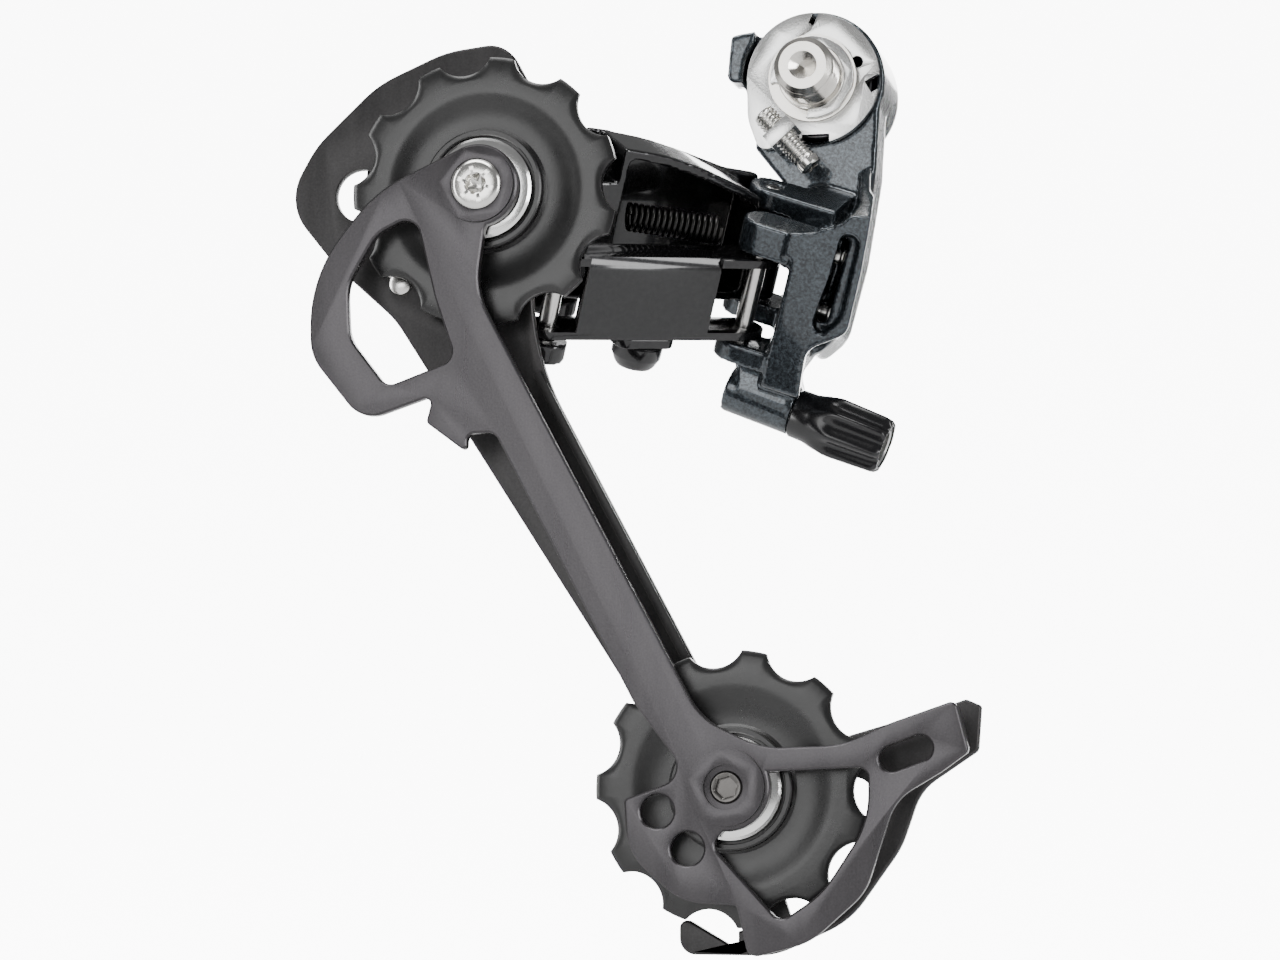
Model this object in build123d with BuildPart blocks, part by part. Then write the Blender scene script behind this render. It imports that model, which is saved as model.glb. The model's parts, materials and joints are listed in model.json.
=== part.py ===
from build123d import *
from math import asin, atan2, cos, degrees, pi, radians, sin, sqrt
import os

# Rear derailleur with a long cage, in millimetres.
# The origin is on the hanger bolt's axis, where the bolt's shoulder meets the hanger.
# +X points rearward, +Y outboard (away from the wheel) and +Z up.

# ---- driving dimensions ----
CHAIN_PITCH = 12.7
PULLEY_TEETH = 11
PULLEY_SPACING = 101.0
CAGE_SLOPE = -67.34
PULLEY_PLANE = -44.5
GUIDE_X, GUIDE_Z = -44.4, -25.5
CAGE_AXIS_X, CAGE_AXIS_Z = GUIDE_X - 8.0, GUIDE_Z + 3.5
PLATE_GAP = 8.6
PLATE_THICKNESS = 1.8
RUNNING_GAP = 0.05
PULLEY_BOLT_RADIUS = 2.5

THREAD_RADIUS = 5.0
THREAD_LENGTH = 9.0
BOLT_SHAFT_RADIUS = 5.5
BOSS_RADIUS = 11.6
BOSS_BACK, BOSS_FRONT = 23.0, 4.2

PIN_RADIUS = 1.5
PIN_LEAN = 25.0
PIN_SPACING = 13.0
INNER_PIN = Vector(-9.1, -7.5, -38.2)
LINK_X, LINK_Y = -25.2, -26.7

# ---- places worked out from them ----
TENSION_X = GUIDE_X + PULLEY_SPACING * cos(radians(CAGE_SLOPE))
TENSION_Z = GUIDE_Z + PULLEY_SPACING * sin(radians(CAGE_SLOPE))
INNER_PLATE_BACK = PULLEY_PLANE - PLATE_GAP / 2
INNER_PLATE_FACE = INNER_PLATE_BACK - PLATE_THICKNESS
OUTER_PLATE_FACE = PULLEY_PLANE + PLATE_GAP / 2
OUTER_PLATE_BACK = OUTER_PLATE_FACE + PLATE_THICKNESS
PITCH_RADIUS = CHAIN_PITCH / 2 / sin(pi / PULLEY_TEETH)
TIP_RADIUS = PITCH_RADIUS - 1.45
ROOT_RADIUS = PITCH_RADIUS - 4.05

# The link pins lean inboard at their tops, so the cage drops as it moves inboard.
PIN_AXIS = Vector(0.293, -sin(radians(PIN_LEAN)), 0.858).normalized()
OUTWARD = (Vector(0, 1, 0) - PIN_AXIS * PIN_AXIS.Y).normalized()
ACROSS = OUTWARD.cross(PIN_AXIS)
LINK_LENGTH = sqrt(LINK_X**2 + LINK_Y**2)
LINK_ANGLE = degrees(atan2(LINK_Y, LINK_X))
LINK_WAY = (ACROSS * LINK_X + OUTWARD * LINK_Y).normalized()
LINK_SIDE = PIN_AXIS.cross(LINK_WAY)
OUTER_PIN_X, OUTER_PIN_Y = -0.242 * PIN_SPACING, 0.970 * PIN_SPACING

os.makedirs("parts", exist_ok=True)


def at_depth(y):
    """Plane facing inboard at depth y, with its own x along +X and y along +Z."""
    return Plane.XZ.offset(-y)


def pin_plane(height, x=0.0, y=0.0):
    """Plane square to the link pins, height above the inner bracket pin's middle."""
    place = INNER_PIN + PIN_AXIS * height + ACROSS * x + OUTWARD * y
    return Plane(origin=place, x_dir=ACROSS, z_dir=PIN_AXIS)


def along_link(x, y, along, side=0.0):
    """Plane across a link: its own x points inboard and its own y up the pins."""
    place = pin_plane(0, x, y).origin + LINK_WAY * along + LINK_SIDE * side
    return Plane(origin=place, x_dir=LINK_SIDE, z_dir=LINK_WAY)


def beside_link(x, y, side):
    """Plane on a link's side: its own x runs along the link and its own y up the pins."""
    place = pin_plane(0, x, y).origin + LINK_SIDE * side
    return Plane(origin=place, x_dir=LINK_WAY, z_dir=-LINK_SIDE)


def closed_outline(corners):
    """Closed line through corners given as (x, z, radius)."""
    points = [(x, z) for x, z, radius in corners]
    radii = [radius for x, z, radius in corners]
    FilletPolyline(*points, radius=radii, close=True)


def hand_in(name, label):
    name.part.label = label
    export_step(name.part, f"parts/{label}.step")


# ---- hanger bolt: threaded end inboard, hexagon socket head outboard ----
HEAD_RADIUS = 8.4
HEAD_BACK, HEAD_FRONT = 29.6, 25.0
with BuildPart() as hanger_bolt:
    with BuildSketch(at_depth(HEAD_BACK)):
        Circle(HEAD_RADIUS)
    extrude(amount=HEAD_BACK - HEAD_FRONT)
    chamfer(hanger_bolt.edges().sort_by(Axis.Y)[-1], 0.8)
    with BuildSketch(at_depth(HEAD_FRONT)):
        Circle(BOLT_SHAFT_RADIUS)
    extrude(amount=HEAD_FRONT)
    with BuildSketch(at_depth(0)):
        Circle(THREAD_RADIUS)
    extrude(amount=THREAD_LENGTH)
    chamfer(hanger_bolt.edges().sort_by(Axis.Y)[0], 0.9)
    with BuildSketch(at_depth(1.5)):
        Circle(BOLT_SHAFT_RADIUS + 1)
        Circle(BOLT_SHAFT_RADIUS - 0.7, mode=Mode.SUBTRACT)
    extrude(amount=0.9, mode=Mode.SUBTRACT)
    with BuildSketch(at_depth(HEAD_BACK)):
        RegularPolygon(2.5, 6, major_radius=False)
    extrude(amount=3.4, mode=Mode.SUBTRACT)
    with BuildSketch(Plane.XY) as tip_cone:
        with BuildLine():
            Polyline(
                (0, -THREAD_LENGTH - 0.1), (2.2, -THREAD_LENGTH - 0.1), (0, -THREAD_LENGTH + 1.9),
                close=True,
            )
        make_face()
    revolve(axis=Axis.Y, mode=Mode.SUBTRACT)
hand_in(hanger_bolt, "hanger_bolt")

# ---- snap ring: an open ring sprung into the bolt's groove, with two straight flanks ----
RING_BACK, RING_FRONT = 1.45, 0.65
with BuildPart() as bolt_snap_ring:
    with BuildSketch(at_depth(RING_BACK)):
        Circle(6.9)
        Circle(BOLT_SHAFT_RADIUS - 0.65, mode=Mode.SUBTRACT)
        with Locations(Location((-8.6, 6.1), 54.0)):
            Rectangle(12, 5.4, mode=Mode.SUBTRACT)
        with Locations(Location((7.0, -6.3), 57.5)):
            Rectangle(12, 5.4, mode=Mode.SUBTRACT)
        with Locations((-4.6, -4.6)):
            Circle(4.2, mode=Mode.SUBTRACT)
        with Locations((-5.6, 0.2), (1.4, -5.4)):
            Circle(1.1)
        Circle(BOLT_SHAFT_RADIUS - 0.65, mode=Mode.SUBTRACT)
    extrude(amount=RING_BACK - RING_FRONT)
hand_in(bolt_snap_ring, "bolt_snap_ring")

# ---- collar behind the snap ring that the stop plate turns on ----
COLLAR_RADIUS = 7.3
COLLAR_BACK = 4.0
with BuildPart() as stop_collar:
    with BuildSketch(at_depth(COLLAR_BACK)):
        Circle(COLLAR_RADIUS)
        Circle(BOLT_SHAFT_RADIUS + 0.02, mode=Mode.SUBTRACT)
    extrude(amount=COLLAR_BACK - RING_BACK - 0.05)
hand_in(stop_collar, "stop_collar")

# ---- stop plate: pressed steel, its ear carries the body-angle screw ----
PLATE_FRONT, PLATE_BACK = 2.0, 3.8
STAMPED_STEP = 0.7
SCREW_SLOPE = -48.3
SCREW_TIP = Vector(-7.7, -2.6, -6.4)
SCREW_DIRECTION = Vector(cos(radians(SCREW_SLOPE)), 0, sin(radians(SCREW_SLOPE)))
SCREW_LENGTH = 12.6
EAR_CENTRE = SCREW_TIP + SCREW_DIRECTION * 4.8
with BuildPart() as stop_plate:
    with BuildSketch(at_depth(PLATE_BACK)):
        Circle(11.0)
        with BuildLine():
            closed_outline([(-11.0, 1, 0), (-10.9, -6.5, 8), (-8.6, -13.0, 2), (-5.0, -9.8, 0), (0, 0, 0)])
        make_face()
        Circle(COLLAR_RADIUS + RUNNING_GAP, mode=Mode.SUBTRACT)
        with Locations((COLLAR_RADIUS, 2.6)):
            Circle(1.0, mode=Mode.SUBTRACT)
        with Locations((10.3, -1.2)):
            Rectangle(2.6, 2.2, rotation=30, mode=Mode.SUBTRACT)
        with Locations((0.2, 10.3)):
            Rectangle(0.8, 2.6, rotation=-25, mode=Mode.SUBTRACT)
        with Locations((0.4, -10.7)):
            Rectangle(4.6, 2.6, mode=Mode.SUBTRACT)
    extrude(amount=PLATE_BACK - PLATE_FRONT)
    # the quarter above the bolt is stamped back a step
    with BuildSketch(at_depth(PLATE_FRONT + STAMPED_STEP)):
        with BuildLine():
            Polyline((0, 0), (-2.4, 7.1), (-0.3, 8.3), (0.3, 12), (12, 12), (12, 0.6), (8.7, 0.3),
                     (7.3, -1.7), (5.5, -4.2), close=True)
        make_face()
    extrude(amount=STAMPED_STEP, mode=Mode.SUBTRACT)
    ear_plane = Plane(
        origin=EAR_CENTRE + SCREW_DIRECTION * -1.2,
        x_dir=(0, 1, 0),
        z_dir=SCREW_DIRECTION,
    )
    with BuildSketch(ear_plane) as ear_sketch:
        with Locations((1.4, 0)):
            Rectangle(8.2, 5.2)
    extrude(amount=2.4)
    with BuildSketch(ear_plane.offset(-0.1)):
        Circle(2.0)
    extrude(amount=2.6, mode=Mode.SUBTRACT)
hand_in(stop_plate, "stop_plate")

# ---- body-angle screw, M4, cross slot in its head ----
with BuildPart() as body_angle_screw:
    screw_plane = Plane(origin=SCREW_TIP, x_dir=(0, 1, 0), z_dir=SCREW_DIRECTION)
    with BuildSketch(screw_plane):
        Circle(1.97)
    extrude(amount=SCREW_LENGTH)
    chamfer(body_angle_screw.edges().filter_by(GeomType.CIRCLE), 0.35)
    with BuildSketch(screw_plane.offset(SCREW_LENGTH)):
        Rectangle(2.6, 0.6)
        Rectangle(0.6, 2.6)
    extrude(amount=-0.9, mode=Mode.SUBTRACT)
hand_in(body_angle_screw, "body_angle_screw")

# ---- bracket: die-cast body that swings on the hanger bolt and carries both links ----
BUSHING_RADIUS = 6.4
ADJUSTER_SLOPE = -22.0
ADJUSTER_DEPTH = 3.0
ADJUSTER_LEFT = Vector(-14.3, ADJUSTER_DEPTH, -51.0)
ADJUSTER_DIRECTION = Vector(cos(radians(ADJUSTER_SLOPE)), 0, sin(radians(ADJUSTER_SLOPE)))
ADJUSTER_BOSS_LENGTH = 11.8
ADJUSTER_BOSS_RADIUS = 3.85
ARM_BACK = 13.5
EAR_RADIUS = 3.9
EAR_REACH = 9.0
INNER_EAR_BOTTOM, INNER_EAR_TOP = 8.8, 14.2
OUTER_EAR_BOTTOM, OUTER_EAR_TOP = 12.6, 15.8
LOWER_EAR_THICKNESS = 3.3
INNER_PIN_LOW, OUTER_PIN_LOW = -9.9, -6.6
INNER_PIN_TOP, OUTER_PIN_TOP = 11.7, 15.6
FACE_DEPTH = -4.4
SCREW_ROOM = 18.0
LIMIT_SCREW_HEIGHTS = (9.8, -0.2)
LIMIT_SCREW_DEPTH = 6.0
LIMIT_SCREW_LENGTH = 8.0
LIMIT_SCREW_TIP = 4.4
LIMIT_SCREW_RADIUS = 1.6

# The lower body is drawn from its mould in this direction, outboard and a little up.
DRAW = Vector(-0.155, 1, 0.155).normalized()
bracket_face = Plane(origin=INNER_PIN + OUTWARD * FACE_DEPTH, x_dir=ACROSS, z_dir=-OUTWARD)


def ear(plane, x, y, reach, thickness):
    """Ear around a pin at (x, y) that reaches to the right by reach, square to the pin."""
    with BuildSketch(plane) as outline:
        with Locations((x, y)):
            Circle(EAR_RADIUS)
        with Locations((x + reach / 2, y)):
            Rectangle(abs(reach), EAR_RADIUS * 2)
    extrude(outline.sketch, amount=thickness)


with BuildPart() as bracket_body:
    # lower body: a flat front face square to the links' plane, drawn back to the arm
    with BuildSketch(bracket_face):
        with BuildLine():
            closed_outline([
                (4.8, 14.6, 0), (8.2, 15.6, 6), (13.2, 18.6, 8), (16.2, 25.6, 0), (17.0, 25.0, 0),
                (17.8, 12.0, 30), (17.9, 1.0, 3.0), (12.0, -3.6, 3.4), (12.6, -12.0, 0), (6.0, -12.0, 0),
                (6.2, 10.4, 0), (4.8, 10.4, 0),
            ])
        make_face()
    extrude(amount=34, dir=DRAW)
    # side wall between the face's top corner and the arm
    with BuildSketch(bracket_face):
        with BuildLine():
            Polyline((15.0, 22.6), (16.2, 25.4), (15.4, 30.3), (14.2, 35.6), (12.6, 35.6), (13.8, 30.3),
                     (14.6, 25.4), close=True)
        make_face()
    extrude(amount=34, dir=DRAW)
    # the wall's free edge runs slanting from the arm forward to the face
    with BuildSketch(Plane.YZ.offset(-40)):
        with BuildLine():
            Polyline((BOSS_FRONT, 10), (BOSS_FRONT, -14), (-20.5, -27.4), (-60, -27.4), (-60, 10), close=True)
        make_face()
    extrude(amount=80, mode=Mode.SUBTRACT)
    with BuildSketch(at_depth(ARM_BACK + 40)):
        Rectangle(200, 200)
    extrude(amount=40, mode=Mode.SUBTRACT)
    # boss round the hanger bolt
    with BuildSketch(at_depth(BOSS_BACK)):
        Circle(BOSS_RADIUS)
    extrude(amount=BOSS_BACK - BOSS_FRONT)
    fillet(bracket_body.edges().filter_by(GeomType.CIRCLE).sort_by(Axis.Y)[-1], 1.2)
    # arm from the boss down to the lower body
    with BuildSketch(at_depth(ARM_BACK)):
        with BuildLine():
            closed_outline([
                (-9.6, -4.0, 0), (10.8, -2.0, 0), (10.0, -16.0, 20), (7.6, -30.0, 25),
                (4.2, -42.5, 6), (-1.6, -47.0, 2), (-3.6, -36.0, 4), (-5.4, -26.0, 3),
                (-5.0, -17.4, 3), (-10.0, -11.0, 0),
            ])
        make_face()
    extrude(amount=ARM_BACK - BOSS_FRONT)
    # block that carries the outer pin's upper ear
    with BuildSketch(pin_plane(4.0)):
        with Locations((5.2, 15.4)):
            Rectangle(7.4, 13.4)
    extrude(amount=OUTER_EAR_TOP - 4.0)
    ear(pin_plane(INNER_EAR_BOTTOM), 0, 0, 7.6, INNER_EAR_TOP - INNER_EAR_BOTTOM)
    ear(pin_plane(INNER_PIN_LOW), 0, 0, EAR_REACH, LOWER_EAR_THICKNESS)
    ear(pin_plane(OUTER_EAR_BOTTOM), OUTER_PIN_X, OUTER_PIN_Y, EAR_REACH, OUTER_EAR_TOP - OUTER_EAR_BOTTOM)
    ear(pin_plane(OUTER_PIN_LOW), OUTER_PIN_X, OUTER_PIN_Y, EAR_REACH, LOWER_EAR_THICKNESS)
    # arm to the cable adjuster's boss
    with BuildSketch(at_depth(ADJUSTER_DEPTH + 3.6)):
        with BuildLine():
            closed_outline([
                (-14.6, -43.4, 1.2), (-3.0, -44.0, 0), (1.2, -44.0, 1.5), (-2.6, -48.4, 2), (-2.1, -51.6, 0),
                (-4.4, -55.0, 0), (-12.0, -52.0, 0), (-12.6, -47.6, 2.6),
            ])
        make_face()
    extrude(amount=7.6)
    adjuster_plane = Plane(origin=ADJUSTER_LEFT, x_dir=(0, 1, 0), z_dir=ADJUSTER_DIRECTION)
    with BuildSketch(adjuster_plane):
        Circle(ADJUSTER_BOSS_RADIUS)
    extrude(amount=ADJUSTER_BOSS_LENGTH)
    # bore for the bushing and the ring-shaped pocket of the bracket spring
    with BuildSketch(at_depth(BOSS_BACK + 1)):
        Circle(BUSHING_RADIUS)
    extrude(amount=BOSS_BACK + 12, mode=Mode.SUBTRACT)
    with BuildSketch(at_depth(20.0)):
        Circle(10.3)
        Circle(BUSHING_RADIUS + 1.0, mode=Mode.SUBTRACT)
    extrude(amount=20.0, mode=Mode.SUBTRACT)
    # room in front of the boss for the stop plate and its screw
    with BuildSketch(at_depth(BOSS_FRONT)):
        Circle(SCREW_ROOM)
    extrude(amount=20.0, mode=Mode.SUBTRACT)
    # lug beside the stop plate that sets how far back the bracket rests
    with BuildSketch(at_depth(BOSS_FRONT + 3)):
        with BuildLine():
            closed_outline([(-13.4, 7.4, 0.8), (-9.4, 8.0, 0), (-10.4, -0.6, 0), (-14.2, -0.4, 1.2)])
        make_face()
        Circle(BUSHING_RADIUS + 4.2, mode=Mode.SUBTRACT)
    extrude(amount=3.0)
    with BuildSketch(at_depth(BOSS_FRONT)):
        with BuildLine():
            closed_outline([(-13.4, 7.4, 0.8), (-9.4, 8.0, 0), (-10.4, -0.6, 0), (-14.2, -0.4, 1.2)])
        make_face()
        Circle(11.5, mode=Mode.SUBTRACT)
    extrude(amount=3.6)
    # holes for the pins
    with BuildSketch(pin_plane(-12)):
        Circle(PIN_RADIUS)
    extrude(amount=12 + INNER_PIN_TOP, mode=Mode.SUBTRACT)
    with BuildSketch(pin_plane(-12)):
        with Locations((OUTER_PIN_X, OUTER_PIN_Y)):
            Circle(PIN_RADIUS)
    extrude(amount=40, mode=Mode.SUBTRACT)
    # threaded holes for the limit screws, open to the right for the screwdriver
    for height in LIMIT_SCREW_HEIGHTS:
        origin = pin_plane(height, LIMIT_SCREW_TIP - 3, LIMIT_SCREW_DEPTH).origin
        with BuildSketch(Plane(origin=origin, x_dir=OUTWARD, z_dir=ACROSS)):
            Circle(LIMIT_SCREW_RADIUS + 0.05)
        extrude(amount=24, mode=Mode.SUBTRACT)
    # long window in the face: a shallow recess, deeper on its left where the screws end
    with BuildSketch(bracket_face):
        with BuildLine():
            closed_outline([
                (13.2, 17.2, 1.4), (16.4, 17.2, 1.6), (16.4, 3.0, 5.0), (13.6, -0.9, 1.2), (11.9, 1.0, 2.0),
                (12.9, 10.0, 8.0),
            ])
        make_face()
    extrude(amount=3.0, dir=DRAW, mode=Mode.SUBTRACT)
    with BuildSketch(bracket_face):
        with BuildLine():
            closed_outline([
                (13.2, 16.6, 0.8), (14.8, 16.6, 0.7), (14.3, 2.0, 0.7), (12.2, 1.2, 0.8), (12.9, 9.0, 6.0),
            ])
        make_face()
    extrude(amount=13.2, dir=DRAW, mode=Mode.SUBTRACT)
    # threaded hole of the adjuster
    with BuildSketch(adjuster_plane.offset(-1)):
        Circle(1.2)
    extrude(amount=5, mode=Mode.SUBTRACT)
    with BuildSketch(adjuster_plane.offset(3)):
        Circle(2.5 + RUNNING_GAP)
    extrude(amount=12, mode=Mode.SUBTRACT)
hand_in(bracket_body, "bracket_body")

# ---- bracket bushing, spring and dust cap around the hanger bolt ----
with BuildPart() as bracket_bushing:
    with BuildSketch(at_depth(BOSS_BACK)):
        Circle(BUSHING_RADIUS)
        Circle(BOLT_SHAFT_RADIUS + RUNNING_GAP, mode=Mode.SUBTRACT)
    extrude(amount=BOSS_BACK - BOSS_FRONT)
hand_in(bracket_bushing, "bracket_bushing")

with BuildPart() as bracket_dust_cap:
    with BuildSketch(at_depth(24.8)):
        Circle(10.6)
        Circle(BOLT_SHAFT_RADIUS + 0.3, mode=Mode.SUBTRACT)
    extrude(amount=24.8 - BOSS_BACK)
    chamfer(bracket_dust_cap.edges().sort_by(Axis.Y)[-1], 0.5)
hand_in(bracket_dust_cap, "bracket_dust_cap")


def torsion_spring(x, z, radius, wire, front, turns, pitch):
    """Coil about the Y direction, starting at depth front and running outboard."""
    with BuildPart() as coil:
        with BuildLine() as path:
            Helix(
                pitch=pitch, height=pitch * turns, radius=radius,
                center=(x, front, z), direction=(0, 1, 0),
            )
        with BuildSketch(Plane(origin=path.line @ 0, z_dir=path.line % 0)):
            Circle(wire / 2)
        sweep()
    return coil


bracket_spring = torsion_spring(0, 0, 8.85, 1.8, 6.0, 5, 2.3)
hand_in(bracket_spring, "bracket_spring")

# ---- pins, screws and nylon insert of the bracket ----
with BuildPart() as inner_bracket_pin:
    with BuildSketch(pin_plane(INNER_PIN_LOW)):
        Circle(PIN_RADIUS)
    extrude(amount=INNER_PIN_TOP - INNER_PIN_LOW)
hand_in(inner_bracket_pin, "inner_bracket_pin")

with BuildPart() as outer_bracket_pin:
    with BuildSketch(pin_plane(OUTER_PIN_LOW)):
        with Locations((OUTER_PIN_X, OUTER_PIN_Y)):
            Circle(PIN_RADIUS)
    extrude(amount=OUTER_PIN_TOP - OUTER_PIN_LOW)
hand_in(outer_bracket_pin, "outer_bracket_pin")

for label, height in zip(("high_limit_screw", "low_limit_screw"), LIMIT_SCREW_HEIGHTS):
    with BuildPart() as limit_screw:
        origin = pin_plane(height, LIMIT_SCREW_TIP, LIMIT_SCREW_DEPTH).origin
        screw_plane = Plane(origin=origin, x_dir=OUTWARD, z_dir=ACROSS)
        with BuildSketch(screw_plane):
            Circle(LIMIT_SCREW_RADIUS)
        extrude(amount=LIMIT_SCREW_LENGTH)
        chamfer(limit_screw.edges().filter_by(GeomType.CIRCLE), 0.3)
        with BuildSketch(screw_plane.offset(LIMIT_SCREW_LENGTH)):
            Rectangle(2.2, 0.5)
            Rectangle(0.5, 2.2)
        extrude(amount=-0.8, mode=Mode.SUBTRACT)
    hand_in(limit_screw, label)

# ---- cable adjuster: threaded tube with a fluted barrel that hides a click ring and spring ----
BARREL_START = ADJUSTER_BOSS_LENGTH + 0.15
NECK_END = ADJUSTER_BOSS_LENGTH + 3.2
BODY_START = ADJUSTER_BOSS_LENGTH + 7.0
BARREL_END = ADJUSTER_BOSS_LENGTH + 16.2
NECK_RADIUS, BARREL_RADIUS = 4.1, 5.3
SLEEVE_RADIUS = 3.5
TUBE_RADIUS = 2.5
CABLE_HOLE_RADIUS = 1.3
HOUSING_SOCKET_RADIUS = 2.55
HOUSING_SOCKET_DEPTH = 6.0
CLICK_RING_START = NECK_END - 1.0
CLICK_SPRING_RADIUS = 3.05


def along_adjuster(distance):
    return adjuster_plane.offset(distance)


with BuildPart() as adjuster_tube:
    with BuildSketch(along_adjuster(4.0)):
        Circle(TUBE_RADIUS)
    extrude(amount=BARREL_END - 4.2)
    with BuildSketch(along_adjuster(NECK_END + 2)):
        Circle(SLEEVE_RADIUS)
    extrude(amount=BARREL_END - NECK_END - 2.2)
    with BuildSketch(along_adjuster(0)):
        Circle(CABLE_HOLE_RADIUS)
    extrude(amount=40, mode=Mode.SUBTRACT)
    with BuildSketch(along_adjuster(BARREL_END - 0.2)):
        Circle(HOUSING_SOCKET_RADIUS)
    extrude(amount=-HOUSING_SOCKET_DEPTH, mode=Mode.SUBTRACT)
hand_in(adjuster_tube, "adjuster_tube")

with BuildPart() as adjuster_barrel:
    with BuildSketch(along_adjuster(BARREL_START)):
        Circle(NECK_RADIUS)
    extrude(amount=NECK_END - BARREL_START)
    with BuildSketch(along_adjuster(NECK_END)):
        Circle(NECK_RADIUS)
    with BuildSketch(along_adjuster(BODY_START)):
        Circle(BARREL_RADIUS)
    loft()
    with BuildSketch(along_adjuster(BODY_START)):
        Circle(BARREL_RADIUS)
    extrude(amount=BARREL_END - BODY_START)
    chamfer(adjuster_barrel.edges().sort_by(Axis.X)[-1], 0.7)
    with BuildSketch(along_adjuster(BODY_START - 1.5)):
        with PolarLocations(6.5, 8):
            Circle(1.9)
    extrude(amount=BARREL_END, mode=Mode.SUBTRACT)
    # sleeve seat, tube hole and the room for the click ring
    with BuildSketch(along_adjuster(NECK_END + 2)):
        Circle(SLEEVE_RADIUS)
    extrude(amount=BARREL_END, mode=Mode.SUBTRACT)
    with BuildSketch(along_adjuster(BARREL_START - 1)):
        Circle(TUBE_RADIUS)
    extrude(amount=NECK_END, mode=Mode.SUBTRACT)
    with BuildSketch(along_adjuster(BARREL_START - 1)):
        Circle(NECK_RADIUS - 0.5)
    extrude(amount=NECK_END - BARREL_START + 1, mode=Mode.SUBTRACT)
hand_in(adjuster_barrel, "adjuster_barrel")

with BuildPart() as adjuster_click_ring:
    with BuildSketch(along_adjuster(CLICK_RING_START)):
        Circle(SLEEVE_RADIUS - 0.1)
        Circle(TUBE_RADIUS + RUNNING_GAP, mode=Mode.SUBTRACT)
    extrude(amount=0.8)
hand_in(adjuster_click_ring, "adjuster_click_ring")

with BuildPart() as adjuster_spring:
    coil_start = ADJUSTER_LEFT + ADJUSTER_DIRECTION * (ADJUSTER_BOSS_LENGTH + 0.4)
    with BuildLine() as spring_path:
        Helix(
            pitch=0.75, height=1.4, radius=CLICK_SPRING_RADIUS,
            center=coil_start, direction=ADJUSTER_DIRECTION,
        )
    with BuildSketch(Plane(origin=spring_path.line @ 0, z_dir=spring_path.line % 0)):
        Circle(0.25)
    sweep()
hand_in(adjuster_spring, "adjuster_spring")

# ---- inner link: pressed steel channel between the inner pins ----
LINK_BOTTOM, LINK_TOP = -5.7, 8.2
LINK_SHEET = 1.3
LINK_EAR_RADIUS = 3.3
LINK_BEVEL = 2.0
WEB_START, WEB_END = 8.7, 33.0


def link_profile(x, y, radius):
    """Straight bar with round ends between the two pins of a link."""
    with Locations((x + LINK_X / 2, y + LINK_Y / 2)):
        SlotCenterToCenter(LINK_LENGTH, radius * 2, rotation=LINK_ANGLE)


with BuildPart() as inner_link:
    for height in (LINK_BOTTOM, LINK_TOP - LINK_SHEET):
        with BuildSketch(pin_plane(height)):
            link_profile(0, 0, LINK_EAR_RADIUS)
        extrude(amount=LINK_SHEET)
    # the web's top edge is bent over in a broad bevel
    with BuildSketch(along_link(0, 0, WEB_START)):
        with BuildLine():
            Polyline(
                (LINK_EAR_RADIUS, LINK_BOTTOM), (LINK_EAR_RADIUS, LINK_TOP - LINK_BEVEL),
                (LINK_EAR_RADIUS - 1.1, LINK_TOP), (LINK_EAR_RADIUS - 2.6, LINK_TOP),
                (LINK_EAR_RADIUS - LINK_SHEET, LINK_TOP - LINK_BEVEL - 0.7),
                (LINK_EAR_RADIUS - LINK_SHEET, LINK_BOTTOM), close=True,
            )
        make_face()
    extrude(amount=WEB_END - WEB_START)
    with BuildSketch(along_link(0, 0, WEB_START - 0.01, LINK_EAR_RADIUS)):
        with BuildLine():
            Polyline((0, LINK_TOP - LINK_BEVEL), (-1.1, LINK_TOP), (1, LINK_TOP + 1), close=True)
        make_face()
    extrude(amount=WEB_END - WEB_START + 0.02, mode=Mode.SUBTRACT)
    with BuildSketch(pin_plane(-10)):
        Circle(PIN_RADIUS + RUNNING_GAP)
        with Locations((LINK_X, LINK_Y)):
            Circle(PIN_RADIUS + 0.12)
    extrude(amount=20, mode=Mode.SUBTRACT)
hand_in(inner_link, "inner_link")

# ---- cable clamp under the inner link ----
CLAMP_ALONG = 0.52
CLAMP_X, CLAMP_Y = LINK_X * CLAMP_ALONG, LINK_Y * CLAMP_ALONG
with BuildPart() as cable_clamp_washer:
    with BuildSketch(pin_plane(LINK_BOTTOM)):
        with Locations(Location((CLAMP_X, CLAMP_Y), LINK_ANGLE)):
            RectangleRounded(10.5, 6.6, 2.0)
        with Locations((CLAMP_X, CLAMP_Y)):
            Circle(2.5, mode=Mode.SUBTRACT)
    extrude(amount=-1.6)
hand_in(cable_clamp_washer, "cable_clamp_washer")

with BuildPart() as cable_clamp_bolt:
    with BuildSketch(pin_plane(LINK_BOTTOM)):
        with Locations((CLAMP_X, CLAMP_Y)):
            Circle(2.5)
    extrude(amount=-1.6)
    with BuildSketch(pin_plane(LINK_BOTTOM - 1.6)):
        with Locations((CLAMP_X, CLAMP_Y)):
            Circle(4.1)
    extrude(amount=-4.0)
    chamfer(cable_clamp_bolt.edges().sort_by(Axis(INNER_PIN, PIN_AXIS))[0], 1.2)
    with BuildSketch(pin_plane(LINK_BOTTOM - 5.6)):
        with Locations((CLAMP_X, CLAMP_Y)):
            RegularPolygon(2.5, 6, major_radius=False)
    extrude(amount=2.6, mode=Mode.SUBTRACT)
hand_in(cable_clamp_bolt, "cable_clamp_bolt")

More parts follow.
